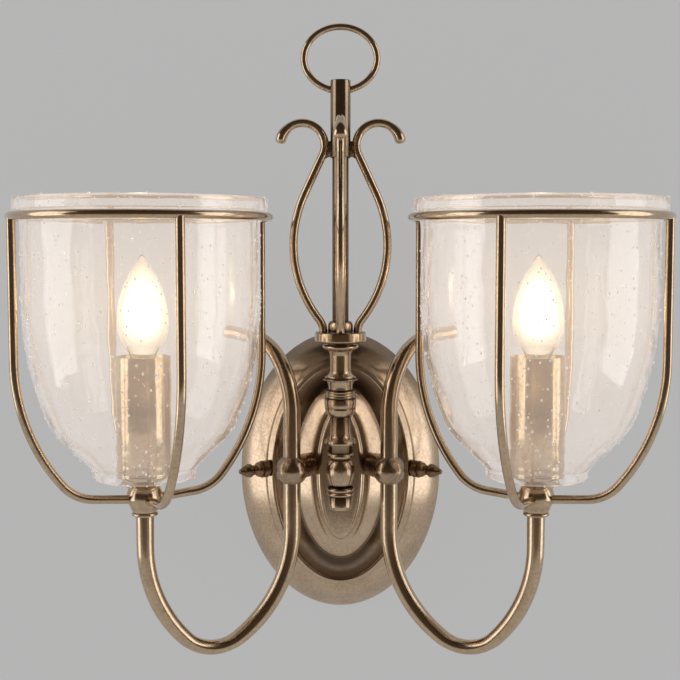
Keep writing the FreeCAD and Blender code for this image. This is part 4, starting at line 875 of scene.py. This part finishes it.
def plate_corners():
    """The plate's outside as (inset at the side, inset at the top, height off the wall)."""
    corners = ring_steps(0.0, 0.0, RIM_STEPS)
    rise = SHOULDER_HEIGHT - LIP_HEIGHT
    chord = math.hypot(SHOULDER_INSET, rise)
    for step in range(1, BAND_STEPS + 1):
        share = step / BAND_STEPS
        bulge = BAND_BULGE * 4 * share * (1 - share) / chord
        corners.append((SHOULDER_INSET * share - bulge * rise, SHOULDER_LONG_INSET * share - bulge * rise,
                        LIP_HEIGHT + rise * share + bulge * SHOULDER_INSET))
    corners += ring_steps(SHOULDER_INSET, SHOULDER_LONG_INSET, BEAD_STEPS)
    for step in range(VALLEY_STEPS + 1):
        share = step / VALLEY_STEPS
        corners.append((VALLEY_START + (VALLEY_END - VALLEY_START) * share,
                        VALLEY_START_LONG + (VALLEY_END_LONG - VALLEY_START_LONG) * share,
                        VALLEY_EDGE + VALLEY_RISE * share - VALLEY_DIP * math.sin(math.pi * share)))
    corners += ring_steps(TERRACE_INSET, TERRACE_LONG_INSET, TERRACE_STEPS)
    return corners + ring_steps(CROWN_INSET, CROWN_LONG_INSET, CROWN_STEPS)


def oval_share(place, inset, long_inset):
    """How far out a place lies, as a share of the oval at these insets."""
    return math.hypot(place.x / (PLATE_HALF_WIDTH - inset), place.y / (PLATE_HALF_HEIGHT - long_inset))


def plate_painted_shade(place):
    """Painted shade: dark in the valley, most of all at the terrace's foot, and over the top of the band.
    """
    foot = oval_share(place, VALLEY_END, VALLEY_END_LONG)
    if place.z < VALLEY_DARK_ABOVE or oval_share(place, VALLEY_START, VALLEY_START_LONG) > 1.0:
        return TOP_DARK * clamped((place.y / PLATE_HALF_HEIGHT - TOP_DARK_START) / TOP_DARK_REACH)
    reach = VALLEY_DARK_REACH if foot > 1.0 else DOME_DARK_REACH
    return VALLEY_DARK * clamped(VALLEY_DARK_SPREAD - abs(foot - 1.0) / reach)


def build_backplate():
    face = [(PLATE_HALF_WIDTH - across, PLATE_HALF_HEIGHT - along, height)
            for across, along, height in plate_corners()]
    width, tall, level = face[-1]
    face += [(width * CROWN_HALFWAY, tall * CROWN_HALFWAY, level + CROWN_HALFWAY_RISE),
             (0.0, 0.0, level + CROWN_MIDDLE_RISE)]
    back = [(max(0.0, width - PLATE_WALL), max(0.0, tall - PLATE_WALL),
             min(height, max(0.0, height - PLATE_WALL))) for width, tall, height in face]
    closed = [(w * MM, h * MM, level * MM) for w, h, level in face + back[::-1]]
    mesh = spin("backplate_dome", closed, PLATE_BRASS, PLATE_SEGMENTS, PLATE_SHARP)
    # The plate's painted shade goes into the same mask as grooves.
    store_groove_and_shade(mesh, [plate_painted_shade(vertex.co / MM) for vertex in mesh.vertices])
    for vertex in mesh.vertices:
        vertex.co.y += PLATE_LIFT * max(0.0, vertex.co.z - LIP_HEIGHT * MM)
    mesh.transform(Matrix.Rotation(math.pi / 2, 4, "X"))
    return put("backplate_dome", mesh, "fixture", "antique_brass", "backplate")


build_backplate()

# %% [markdown]
# ## Column
# The column is a stack of small turned pieces on one rod: beads, a pear-shaped bulb, a flanged neck, a
# bulge, rings, a cup and a flared collar, with a plain disc on top. Their outlines are in millimetres
# above each piece's own base, and the base comes from the frame.

# %% Column outlines
BEAD_ROUND = 0.55
BEAD_CREST = BEAD_ROUND - math.sqrt(BEAD_ROUND ** 2 - 0.5 ** 2)


def beads(outer, low, high, count=1):
    """Half-round beads stacked between two heights, their crests at the outer radius."""
    tall = (high - low) / count
    inset = tall * BEAD_CREST
    rounds = [(outer - inset, low + tall * n, tall * BEAD_ROUND) for n in range(count)]
    return rounds + [(outer - inset, high)]


def swell(across, along):
    """Radius of the arc that leaves an upright tangent by `across` within `along`."""
    return (across * across + along * along) / (across * 2.0)


COLUMN_OUTLINES = {
    "column_end_cap": [(0, 0), (4.7, 0, 3.0), (7.7, 3.0), (7.7, 9.3), (0, 9.3)],
    "column_lower_rings": [(0, 0)] + beads(8.55, 0, 5.8, 2) + [(0, 5.8)],
    "column_bulb": [(0, 0), (6.4, 0, swell(2.5, 11.6)), (8.9, 11.6, swell(3.0, 6.5)), (5.9, 18.1),
                    (0, 18.1)],
    "column_bead": [(0, 0), (7, 0), (7, 0.5)] + beads(8.3, 0.5, 3.9) + [(7, 3.9), (7, 4.4), (0, 4.4)],
    "column_neck": [(0, 0), (8, 0), (8, 4.5)] + beads(10.15, 4.5, 8.1)
    + [(8.65, 8.1, -swell(2.0, 4.4)), (6.65, 12.5), (6.65, 22.5), (0, 22.5)],
    "column_bulge": [(0, 0), (7, 0, swell(2.7, 5.4)), (9.7, 5.4), (9.3, 5.4), (9.3, 6),
                     (9.7, 6, swell(0.3, 2.9)), (10, 8.9, swell(0.3, 2.9)), (9.7, 11.8), (0, 11.8)],
    "column_ring_stack": [(0, 0)] + beads(9.6, 0, 5.1, 3) + [(0, 5.1)],
    "column_cup": [(0, 0), (7.7, 0), (7.7, 1.2, -swell(1.7, 5.1)), (9.4, 6.3)] + beads(11.1, 6.3, 7.6)
    + [(0, 7.6)],
    "column_upper": [(0, 0), (10, 0), (10, 1.3, -swell(3.4, 3.8)), (6.6, 5.1), (6.6, 14, -swell(3.2, 4.7)),
                     (9.8, 18.7)] + beads(11.3, 18.7, 21.2) + [(9, 21.2), (9, 22.8), (0, 22.8)],
    "top_disc": [(0, 0), (14.85, 0, 1.4), (16.25, 1.4), (16.25, 5.3, 1.4), (14.85, 6.7), (0, 6.7)],
    "stem_collar": [(5.2, 0), (7.9, 0), (7.9, 3.96, swell(1.2, 2.64)), (6.7, 6.6), (5.2, 6.6)],
    "stem": [(0, 0), (5.2, 0), (5.2, 153.9), (0, 153.9)],
    "sleeve": [(5.2, 0), (6.35, 0), (6.35, 46.9, 0.5), (5.85, 47.4), (5.2, 47.4)],
}


def base_of(node, axis):
    """The foot of a turned piece: its axis in plan and the lowest level of its node."""
    return Vector((axis.x, axis.y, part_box(node)[0].z))


for node, outline in COLUMN_OUTLINES.items():
    mesh = moved(turned_mesh(node, outline, ANTIQUE_BRASS), base_of(node, COLUMN))
    stands_for = [node] + (["tie_rod"] if node == "column_end_cap" else [])
    put(f"{node}_turned", mesh, "fixture", "antique_brass", *stands_for, ends=True)
print("column pieces", len(COLUMN_OUTLINES))

# %% [markdown]
# ## Loop and scrolls
# The loop is one wire ring let into the sleeve. Three wires leave the disc, bow outwards and curl over
# at the top, where their tips are hammered wider. A small braze joins each scroll to the sleeve. It is
# drawn tall and in dark brass, as painted shade between the scroll and the sleeve.

# %% Loop
LOOP_HALF_WIDTH, LOOP_HALF_HEIGHT, LOOP_WIRE = 22.7, 19.5, 2.1
LOOP_POINTS, BEAD_SEGMENTS = 120, 24
LOOP_BEAD_RADIUS, LOOP_BEAD_OFFSET, LOOP_BEAD_DROP = 2.2, 6.9, 5.6
SLEEVE_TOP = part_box("sleeve")[1].z
LOOP_MIDDLE = Vector((0, COLUMN.y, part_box("loop_ring")[1].z - (LOOP_HALF_HEIGHT + LOOP_WIRE) * MM))


def oval_points(centre, half_width, half_height, count):
    turns = [2 * math.pi * n / count for n in range(count)]
    return [centre + Vector((half_width * math.cos(t), 0, half_height * math.sin(t))) * MM for t in turns]


def dome_bead(name, centre, radius, material):
    """A small round blob of metal."""
    outline = [(0, -radius, radius), (radius, 0, radius), (0, radius)]
    return moved(turned_mesh(name, outline, material, BEAD_SEGMENTS), centre)


loop_mesh = bar_mesh("loop", oval_points(LOOP_MIDDLE, LOOP_HALF_WIDTH, LOOP_HALF_HEIGHT, LOOP_POINTS),
                     LOOP_WIRE * MM, ANTIQUE_BRASS, cyclic=True)
bead_level = SLEEVE_TOP - LOOP_BEAD_DROP * MM
loop_parts = [loop_mesh] + [
    dome_bead("loop_bead", Vector((side * LOOP_BEAD_OFFSET * MM, COLUMN.y, bead_level)), LOOP_BEAD_RADIUS,
              ANTIQUE_BRASS) for side in SIDES.values()]
put("loop_wire", joined("loop_wire", loop_parts), "fixture", "antique_brass", "loop_ring")
print("loop joined to", len(loop_parts) - 1, "beads")

# %% Scrolls and brazes: a bend is a radius and an angle
SCROLL_WIRE, SCROLL_FOOT_OFFSET = 2.7, 10.8
SCROLL_LEAVE, SCROLL_BOW, SCROLL_RISE, SCROLL_CURL = (12.0, 38), (76.0, -63), 26.5, (13.9, 190)
TIP_POINTS, TIP_WIDE, TIP_FLAT = 16, 1.67, 0.78
TIP_ROUND = (0.25, 0.5, 0.72, 0.88, 0.97)
# Brazes are drawn tall and dark, as painted shade between the scrolls and the sleeve.
BRAZE_LEVEL, BRAZE_RADIUS, BRAZE_TALL, BRAZE_START, BRAZE_END = 0.211, 1.7, 3.2, 5.2, 9.0
BRAZE_STEPS, BRAZE_SIDES, BRAZE_ENDS, BRAZE_WAIST = 8, 20, 1.1, 0.2


def scroll_mesh(name, azimuth, side):
    disc_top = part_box("top_disc")[1].z / MM
    route = Route(SCROLL_FOOT_OFFSET, disc_top, 0).bend(*SCROLL_LEAVE).bend(*SCROLL_BOW)
    route.run(SCROLL_RISE).bend(*SCROLL_CURL)
    points = route.in_plane(azimuth, side, COLUMN)
    flat = [1.0] * len(points)
    thick = [SCROLL_WIRE * MM] * len(points)
    for back in range(TIP_POINTS):
        share = (1 + math.cos(math.pi * back / TIP_POINTS)) / 2
        flat[-1 - back] = 1 + (TIP_FLAT - 1) * share
        thick[-1 - back] = SCROLL_WIRE * MM * (1 + (TIP_WIDE - 1) * share)
    tip, last = points[-1], (points[-1] - points[-2]).normalized()
    for share in TIP_ROUND:
        points.append(tip + last * SCROLL_WIRE * MM * share)
        thick.append(SCROLL_WIRE * TIP_WIDE * MM * math.sqrt(1 - share * share))
        flat.append(TIP_FLAT)
    return bar_mesh(name, points, thick, ANTIQUE_BRASS, plane_normal(azimuth, side), flat)


def braze_mesh(name, azimuth, side):
    """A tall braze between the sleeve and a scroll, in dark brass as painted shade between them."""
    across, depth = bearing(azimuth, side)
    shares = [n / BRAZE_STEPS for n in range(BRAZE_STEPS + 1)]
    reaches = [BRAZE_START + (BRAZE_END - BRAZE_START) * share for share in shares]
    points = [COLUMN + Vector((across * reach * MM, depth * reach * MM, BRAZE_LEVEL)) for reach in reaches]
    waist = [BRAZE_RADIUS * MM * (BRAZE_ENDS - BRAZE_WAIST * math.sin(math.pi * share)) for share in shares]
    return bar_mesh(name, points, waist, DARK_BRASS, plane_normal(azimuth, side),
                    [BRAZE_TALL] * len(points), sides=BRAZE_SIDES)


for name, azimuth, side in (("left_scroll", 90, -1), ("right_scroll", 90, 1), ("front_scroll", 0, -1)):
    wires = [scroll_mesh(name, azimuth, side), braze_mesh(f"{name}_braze", azimuth, side)]
    put(f"{name}_wire", joined(name, wires), "fixture", "antique_brass", name)
print("loop and scrolls done")

# %% [markdown]
# ## Arms
# Each arm is a swept tube that drops from a ball beside the column, swings round and rises to the
# shade, and a crook above the ball that leans back towards the wall. The tube is pressed a little flat
# in its tight bends.

# %% Arms
ARM_TUBE, ARM_BALL_RADIUS, ARM_AZIMUTH, CROOK_AZIMUTH = 5.5, 10.15, 65.0, 120.0
ARM_STRAIGHT, INNER_RADIUS, INNER_ANGLE, OUTER_RADIUS, OUTER_ANGLE = 37.8, 77.8, 57.8, 85.3, 44.8
BOTTOM_PRESS, SIDE_PRESS, LEAN_PRESS, CROOK_PRESS = 0.83, 0.96, 0.95, 0.80
CROOK_STRAIGHT, CROOK_LEAN, CROOK_HOOK, CROOK_END = 37.5, (60.6, 35.7), (30.0, 48.3), 16.5
ARM_INTO_BALL, ARM_SIDES = 4.6, 40      # how far the tube passes the flange, and its facets


def arm_mesh(name, side, foot, reach, end_level):
    cosines = math.cos(math.radians(INNER_ANGLE)), math.cos(math.radians(OUTER_ANGLE))
    bottom = (reach - INNER_RADIUS * (1 - cosines[0]) - OUTER_RADIUS * (1 - cosines[1])) / sum(cosines)
    route = Route(0, foot.z / MM, 180).run(ARM_STRAIGHT).bend(INNER_RADIUS, -INNER_ANGLE, SIDE_PRESS)
    route.bend(bottom, -(180 - INNER_ANGLE - OUTER_ANGLE), BOTTOM_PRESS)
    route.bend(OUTER_RADIUS, -OUTER_ANGLE, SIDE_PRESS)
    route.run(end_level / MM - route.up)
    points = route.in_plane(ARM_AZIMUTH, side, Vector((foot.x, foot.y, 0)))
    return bar_mesh(name, points, ARM_TUBE * MM, ANTIQUE_BRASS, plane_normal(ARM_AZIMUTH, side),
                    route.eased_press(), sides=ARM_SIDES)


def crook_mesh(name, side, foot):
    route = Route(0, foot.z / MM, 0).run(CROOK_STRAIGHT).bend(*CROOK_LEAN, LEAN_PRESS)
    route.bend(*CROOK_HOOK, CROOK_PRESS).run(CROOK_END - ARM_TUBE * DOME_TALL, CROOK_PRESS)
    flat = route.eased_press()
    points = route.in_plane(CROOK_AZIMUTH, side, Vector((foot.x, foot.y, 0)))
    points, thick = rounded_end(points, ARM_TUBE * MM)
    flat += [flat[-1]] * (len(points) - len(flat))
    return bar_mesh(name, points, thick, ANTIQUE_BRASS, plane_normal(CROOK_AZIMUTH, side), flat,
                    sides=ARM_SIDES)


for name, side in SIDES.items():
    foot, shade = ARM_BALL[name], SHADE[name]
    reach = math.hypot(shade.x - foot.x, shade.y - foot.y) / MM
    arm_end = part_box("arm_flanges")[1].z + ARM_INTO_BALL * MM
    put(f"{name}_arm", arm_mesh(f"{name}_arm", side, foot, reach, arm_end), "fixture", "antique_brass",
        f"{name}_arm_tube")
    put(f"{name}_crook", crook_mesh(f"{name}_crook", side, foot), "fixture", "antique_brass",
        f"{name}_arm_crook")
print("arms done")

# %% [markdown]
# The balls that the arms start from are darker than the tubes. Towards the wall they are painted darker
# still, as painted shade where they mirror little light. The groove mask carries this painted shade and
# follows their depth.

# %% Arm balls
BALL_STEP, BALL_SEGMENTS = 4, 72     # degrees up the outline, and facets round it
BALL_DARK, BALL_DARK_START, BALL_DARK_REACH = 0.85, 0.45, 0.5


def ball_mesh(name, radius, material):
    angles = [math.radians(a) for a in range(0, 181, BALL_STEP)]
    outline = [(max(0.0, radius * math.sin(a)), -radius * math.cos(a)) for a in angles]
    return spin(name, [(out * MM, out * MM, up * MM) for out, up in outline], material, BALL_SEGMENTS)


ball_meshes = [moved(ball_mesh("arm_ball", ARM_BALL_RADIUS, BALL_BRASS), ARM_BALL[name]) for name in SIDES]
ball_pair = joined("arm_ball_pair", ball_meshes)
depths = [(v.co.y - ARM_BALL["left"].y) / (ARM_BALL_RADIUS * MM) for v in ball_pair.vertices]
# Painted shade: each ball darkens towards the wall.
store_groove_and_shade(ball_pair, [BALL_DARK * clamped((d + BALL_DARK_START) / BALL_DARK_REACH) for d in depths])
put("arm_ball_pair", ball_pair, "fixture", "antique_brass", "arm_balls")
print("arm ball points", len(depths))

# %% [markdown]
# ## Shade seats, candles and lamps
# On the outer end of each arm stand a flange, a ball, a shallow cup and the candle tube, which hides
# the black lampholder. The bulb is a clear flame-shaped envelope round a bright core.

# %% Outlines of the turned pieces at each shade
SHADE_BALL, SHADE_NECK_DROP, BALL_SINK = 10.9, 10.5, 0.9
BALL_MIDDLE = SHADE_NECK_DROP - BALL_SINK
SHADE_OUTLINES = {
    "arm_flange": ("arm_flanges", ANTIQUE_BRASS,
                   [(5.5, 0), (7.2, 0), (7.2, 0.2)] + beads(8.1, 0.2, 2.2) + [(5.5, 2.4)]),
    "shade_ball": ("{}_shade_ball", ANTIQUE_BRASS, [
        (0, 0), (7.6, 0), (8.1, 1.2),
        (8.9, BALL_MIDDLE - math.sqrt(SHADE_BALL ** 2 - 8.9 ** 2), SHADE_BALL),
        (3.6, BALL_MIDDLE + math.sqrt(SHADE_BALL ** 2 - 3.6 ** 2)), (0, BALL_MIDDLE + SHADE_BALL)]),
    "candle_cup": ("candle_cups", ANTIQUE_BRASS, [
        (0, 1.2), (6.0, 1.2), (8.4, 2.0), (14.6, 3.6, 1.8), (16.2, 5.2), (16.2, 7.9), (15.35, 7.9),
        (15.35, 10.9), (14.15, 10.9), (14.15, 3.4), (0, 3.4)]),
    "candle": ("{}_candle_tube", SATIN_BRASS, [(15.4, 0), (16.6, 0), (16.6, 68.5), (15.4, 68.5)]),
    "holder": ("{}_lampholder", HOLDER_BLACK, [
        (0, 0), (8.4, 0), (8.4, 24), (13, 28), (13, 62.5), (7.2, 62.5), (7.2, 41.4), (0, 41.4)]),
    "cap": ("{}_bulb_cap", NICKEL,
            [(0, 0), (3.9, 0), (6.3, 3)] + beads(6.9, 4, 18, 6) + [(6.6, 21), (0, 21)]),
}
print("outlines", ", ".join(SHADE_OUTLINES))

# %% [markdown]
# Glass is blown to an even wall, so only the outside is drawn: the same line is set in by the wall, and
# the two are joined by round lips.

# %% Blown pieces
def path_with_bends(corners):
    """An open line of (radius, height[, bend]) corners as points."""
    points = []
    for number, corner in enumerate(corners[:-1]):
        start, end = Vector(corner[:2]), Vector(corners[number + 1][:2])
        points.append(start)
        if len(corner) > 2:
            points += bend_points(start, end, corner[2], FINE_BEND_STEP)
    return points + [Vector(corners[-1][:2])]


LIP_ANGLES = [math.radians(a) for a in (30, 60, 90, 120, 150)]
LONGEST_MITRE = 0.5     # the least cosine that the wall's corners are drawn out by


def round_lip(start, end, outwards):
    """A half-round lip between a wall's two faces."""
    centre, spoke = (start + end) / 2, (start - end) / 2
    return [centre + spoke * math.cos(a) + outwards * spoke.length * math.sin(a) for a in LIP_ANGLES]


def shell_corners(outer, wall, round_top=True):
    """Close a line with the same line drawn in by the wall, its lips rounded, in metres."""
    inner, last = [], len(outer) - 1
    for number, point in enumerate(outer):
        before = (point - outer[number - 1]).normalized() if number else (outer[1] - point).normalized()
        after = (outer[number + 1] - point).normalized() if number < last else before
        along = (before + after).normalized()
        inward = Vector((-along.y, along.x))
        inner.append(point + inward * wall / max(LONGEST_MITRE, along.dot(after)))
        inner[-1].x = max(0.0, inner[-1].x)
    top = round_lip(outer[-1], inner[-1], (outer[-1] - outer[-2]).normalized()) if round_top else []
    foot = round_lip(inner[0], outer[0], (outer[0] - outer[1]).normalized())
    return [(p.x * MM, p.x * MM, p.y * MM) for p in outer + top + inner[::-1] + foot]


def bell_line():
    """The glass bell's outside from its collar to its lip."""
    def sine(angle):
        return math.sin(math.radians(angle))

    def cosine(angle):
        return math.cos(math.radians(angle))

    foot, collar, collar_height, collar_bend = 0.8, 30.7, 4.0, 2.5
    cone, hip = 45.0, 68.0                      # slopes, in degrees
    cone_radius, hip_bend, body, lip = 48.6, 36.0, 70.5, 75.0
    shoulder, top, lip_round = 154.53, 167.2, 1.2
    ease, ease_bend = 2.2, 2.2 * 2.6
    cut = ease * 0.7                            # an eased corner's share along a 45 degree slope
    cone_start = collar + collar_bend * (1 - cosine(90 - cone))
    cone_foot = collar_height + collar_bend * cosine(cone)
    cone_top = cone_foot + (cone_radius - cone_start) * math.tan(math.radians(cone))
    hip_out = cone_radius + hip_bend * (sine(hip) - sine(cone))
    hip_up = cone_top + hip_bend * (cosine(cone) - cosine(hip))
    belly_bend = (body - hip_out) / (1 - sine(hip))
    belly_up = hip_up + belly_bend * cosine(hip)
    step_up = shoulder + (lip - body)
    return path_with_bends([
        (collar, foot), (collar, collar_height, -collar_bend), (cone_start, cone_foot),
        (cone_radius, cone_top, hip_bend), (hip_out, hip_up, belly_bend), (body, belly_up),
        (body, shoulder - ease, -ease_bend), (body + cut, shoulder + cut),
        (lip - cut, step_up - cut, ease_bend), (lip, step_up + ease), (lip, top - lip_round)])


BULB_LINE = path_with_bends([(7.2, 0), (7.2, 3.0, -14), (10.475, 12.0, 21.905), (15.6, 26.08, 66.84),
                             (1.6, 66.6, 2.2), (0.0, 67.9)])
CORE_OUTLINE = [(0, 0), (3, 0), (3, 8.5, swell(10.3, 17.5)), (13.3, 26, swell(12.4, 28.4)), (0.9, 54.4),
                (0, 55)]
GLASS_WALL, BULB_WALL, BELL_SHARP = 2.5, 0.8, math.radians(40)
BELL_SEGMENTS, CANDLE_SEGMENTS, SMALL_SEGMENTS, TINY_SEGMENTS = 192, 96, 72, 48
print("bell", len(bell_line()), "and bulb", len(BULB_LINE), "points")

# %% Seats, candles, bulbs and bells on both sides
bells, shared = {}, {"arm_flange": [], "candle_cup": []}
for name in SIDES:
    axis, lamp = SHADE[name], f"{name}_bulb"
    for piece, (node, material, outline) in SHADE_OUTLINES.items():
        node = node.format(name)
        segments = CANDLE_SEGMENTS if piece in ("candle", "candle_cup") else SMALL_SEGMENTS
        mesh = moved(turned_mesh(f"{name}_{piece}", outline, material, segments), base_of(node, axis))
        if piece in shared:
            shared[piece].append(mesh)
            continue
        put(f"{name}_{piece}_turned", mesh, lamp if piece == "cap" else "fixture", material.name, node)
    bulb = spin(f"{lamp}_envelope", shell_corners(BULB_LINE, BULB_WALL, False), BULB_GLASS, SMALL_SEGMENTS)
    put(f"{lamp}_envelope", moved(bulb, base_of(f"{lamp}_glass", axis)), lamp, "bulb_glass",
        f"{lamp}_glass")
    core = turned_mesh(f"{lamp}_light", CORE_OUTLINE, BULB_GLOW, TINY_SEGMENTS)
    put(f"{lamp}_light", moved(core, base_of(f"{lamp}_core", axis)), lamp, "bulb_glow", f"{lamp}_core")
    bell = spin(f"{name}_bell", shell_corners(bell_line(), GLASS_WALL), SEEDED_GLASS, BELL_SEGMENTS,
                BELL_SHARP)
    bells[name] = put(f"{name}_bell", moved(bell, base_of(f"{name}_glass_shade", axis)), f"{name}_glass",
                      "seeded_glass", f"{name}_glass_shade")
for piece, meshes in shared.items():
    put(f"{piece}_pair", joined(f"{piece}_pair", meshes), "fixture", "antique_brass", f"{piece}s")
print("bells", {name: len(bell.data.polygons) for name, bell in bells.items()})

# %% [markdown]
# ## Cages
# Four wires fan out under each bell, turn up past its hip and end under a ring that carries the
# glass by its shoulder.

# %% Cage rods and rings
CAGE_ROD, RING_WIRE, RING_RADIUS = 2.7, 2.55, 76.0
CAGE_START, CAGE_DROP, CAGE_SLOPE, CAGE_FOOT = 7.0, 3.1, 5.0, 31.45
KNEE_RADIUS, KNEE_SLOPE, ROD_INTO_RING = 26.0, 50.0, 1.0
ROD_COUNT, ROD_SIDES, RING_POINTS = 4, 24, 180


def cage_rod_mesh(name, azimuth, side, axis, ball_level, ring_level):
    slope, knee = math.radians(CAGE_SLOPE), math.radians(KNEE_SLOPE)
    foot_reach = CAGE_FOOT * math.cos(slope)
    knee_reach = KNEE_RADIUS * (math.sin(knee) - math.sin(slope))
    side_bend = (RING_RADIUS - foot_reach - knee_reach) / (1 - math.sin(knee))
    route = Route(CAGE_START, ball_level - CAGE_DROP + math.tan(slope) * CAGE_START, 90 - CAGE_SLOPE)
    route.run(CAGE_FOOT - CAGE_START / math.cos(slope)).bend(KNEE_RADIUS, CAGE_SLOPE - KNEE_SLOPE)
    route.bend(side_bend, KNEE_SLOPE - 90, pitch=2.0).run(ring_level - ROD_INTO_RING - route.up)
    points = route.in_plane(azimuth, side, Vector((axis.x, axis.y, 0)))
    return bar_mesh(name, points, CAGE_ROD * MM, ANTIQUE_BRASS, plane_normal(azimuth, side),
                    sides=ROD_SIDES)


for name, side in SIDES.items():
    axis = SHADE[name]
    ball_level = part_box(f"{name}_shade_ball")[0].z / MM + SHADE_NECK_DROP
    rods = [cage_rod_mesh(f"{name}_rod", ARM_AZIMUTH + 360 / ROD_COUNT * number, side, axis, ball_level,
                          axis.z / MM) for number in range(ROD_COUNT)]
    put(f"{name}_cage_wires", joined(f"{name}_cage_wires", rods), "fixture", "antique_brass",
        f"{name}_cage_rods")
    turns = [2 * math.pi * n / RING_POINTS for n in range(RING_POINTS)]
    reach = RING_RADIUS * MM
    ring = [Vector((axis.x + reach * math.cos(t), axis.y + reach * math.sin(t), axis.z)) for t in turns]
    ring_mesh = bar_mesh(f"{name}_ring", ring, RING_WIRE * MM, ANTIQUE_BRASS, (0, 0, 1), cyclic=True)
    put(f"{name}_ring", ring_mesh, "fixture", "antique_brass", f"{name}_cage_ring")
print("cages done")

# %% [markdown]
# ## Seeds in the glass
# Seeded glass holds small air bubbles. A tree scatters them on the bell with a fixed seed, stretches
# each one a little upwards, and makes them real meshes that ride with the glass.

# %% Seeds
SEED_DENSITY, SEED_RADIUS, SEED_SEGMENTS, SEED_RINGS = 12000.0, 0.00046, 8, 5
SEED_SMALLEST, SEED_LARGEST, SEED_STRETCH, FIRST_SEED = 0.5, 1.5, 1.35, 11


def make_seed_tree():
    tree, entry, leave = geometry_tree("seeds", [
        ("Density", "NodeSocketFloat"), ("Seed", "NodeSocketInt"), ("Material", "NodeSocketMaterial")])
    given = entry.outputs
    scatter = add_node(tree, "GeometryNodeDistributePointsOnFaces", {
        "Mesh": given["Geometry"], "Density": given["Density"], "Seed": given["Seed"]})
    ball = add_node(tree, "GeometryNodeMeshUVSphere", {
        "Radius": SEED_RADIUS, "Segments": SEED_SEGMENTS, "Rings": SEED_RINGS})
    sizes = add_node(tree, "FunctionNodeRandomValue", {"Seed": given["Seed"]}, data_type="FLOAT")
    enabled(sizes.inputs, "Min").default_value = SEED_SMALLEST
    enabled(sizes.inputs, "Max").default_value = SEED_LARGEST
    amount = enabled(sizes.outputs, "Value")
    stretch = add_node(tree, "ShaderNodeCombineXYZ", {
        "X": amount, "Y": amount, "Z": maths(tree, "MULTIPLY", amount, SEED_STRETCH)})
    place = add_node(tree, "GeometryNodeInstanceOnPoints", {
        "Points": scatter.outputs["Points"], "Instance": ball.outputs["Mesh"], "Scale": stretch.outputs[0]})
    real = add_node(tree, "GeometryNodeRealizeInstances", {0: place.outputs[0]})
    smooth = add_node(tree, "GeometryNodeSetShadeSmooth", {"Geometry": real.outputs[0]})
    return finish_tree(tree, entry, leave, smooth.outputs["Geometry"])


SEEDS = make_seed_tree()
for number, name in enumerate(SIDES):
    host = bpy.data.objects.new(f"{name}_seed_host", bells[name].data.copy())
    mesh = grown(f"{name}_seeds", host, SEEDS, density=SEED_DENSITY, seed=FIRST_SEED + number,
                 material=SEED_GLASS)
    put(f"{name}_seeds", mesh, f"{name}_glass", "seeded_glass")
    print(name, "seed faces", len(mesh.polygons))

# %% [markdown]
# ## Nuts, washers and what is behind the plate
# The finial nuts are turned like the column. The small pieces behind the plate keep the CAD's shapes:
# each is copied, its loose triangles are merged, and it gets smooth shading and its own finish.

# %% Finial nuts
STUD_TILT = math.radians(55)
NUT_OUTLINE = [(2.05, 0), (4.9, 0), (4.9, 2.0, 2.4), (3.9, 3.5, -2.2), (3.2, 4.8), (3.3, 5.7, -3.6),
               (4.4, 8.2, 5.5), (3.9, 11.6, 5.5), (2.6, 14.0), (1.9, 15.2, 2.4), (0.9, 16.7), (0, 17.0),
               (0, 9.0), (2.05, 9.0)]
for name, side in SIDES.items():
    node = f"{name}_finial_nut"
    direction = Vector((side * math.sin(STUD_TILT), -math.cos(STUD_TILT), 0))
    points = [v.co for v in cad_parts[node].data.vertices]
    near = min(p.dot(direction) for p in points)
    far = max(points, key=lambda p: p.dot(direction))
    foot = Vector((far.x, far.y, middle(node).z)) - direction * (far.dot(direction) - near)
    mesh = moved(turned_mesh(f"{name}_nut", NUT_OUTLINE, DARK_BRASS, TINY_SEGMENTS), foot, direction)
    put(f"{name}_nut_turned", mesh, f"{name}_nut", "antique_brass", node)
print("nuts tilted", round(math.degrees(STUD_TILT)), "degrees")

# %% Small hardware, by its finish
HARDWARE = (
    (ZINC_STEEL, ("wall_bracket", "earth_screw", "side_studs", "nipple_nuts", "arm_nipples", "lamp_nipples",
                  "lamp_nuts", "standoff_screw", "nipple_wedges")),
    (TERMINAL_WHITE, ("terminal_block",)),
    (TERMINAL_BRASS, ("terminal_screws",)),
    # Painted shade: the pieces in shade behind the plate and the balls get dark brass.
    (DARK_BRASS, ("saddle_washers", "column_standoff", "arm_spacers")),
)


def merged_copy(name, node, material):
    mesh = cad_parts[node].data.copy()
    mesh.name = name
    mesh.materials.clear()
    mesh.materials.append(material)
    return close_and_shade(mesh)


for material, nodes in HARDWARE:
    slot = "antique_brass" if material is DARK_BRASS else material.name
    for node in nodes:
        mesh = merged_copy(f"{node}_finished", node, material)
        put(f"{node}_finished", mesh, "fixture", slot, node)
    print(material.name, len(nodes))
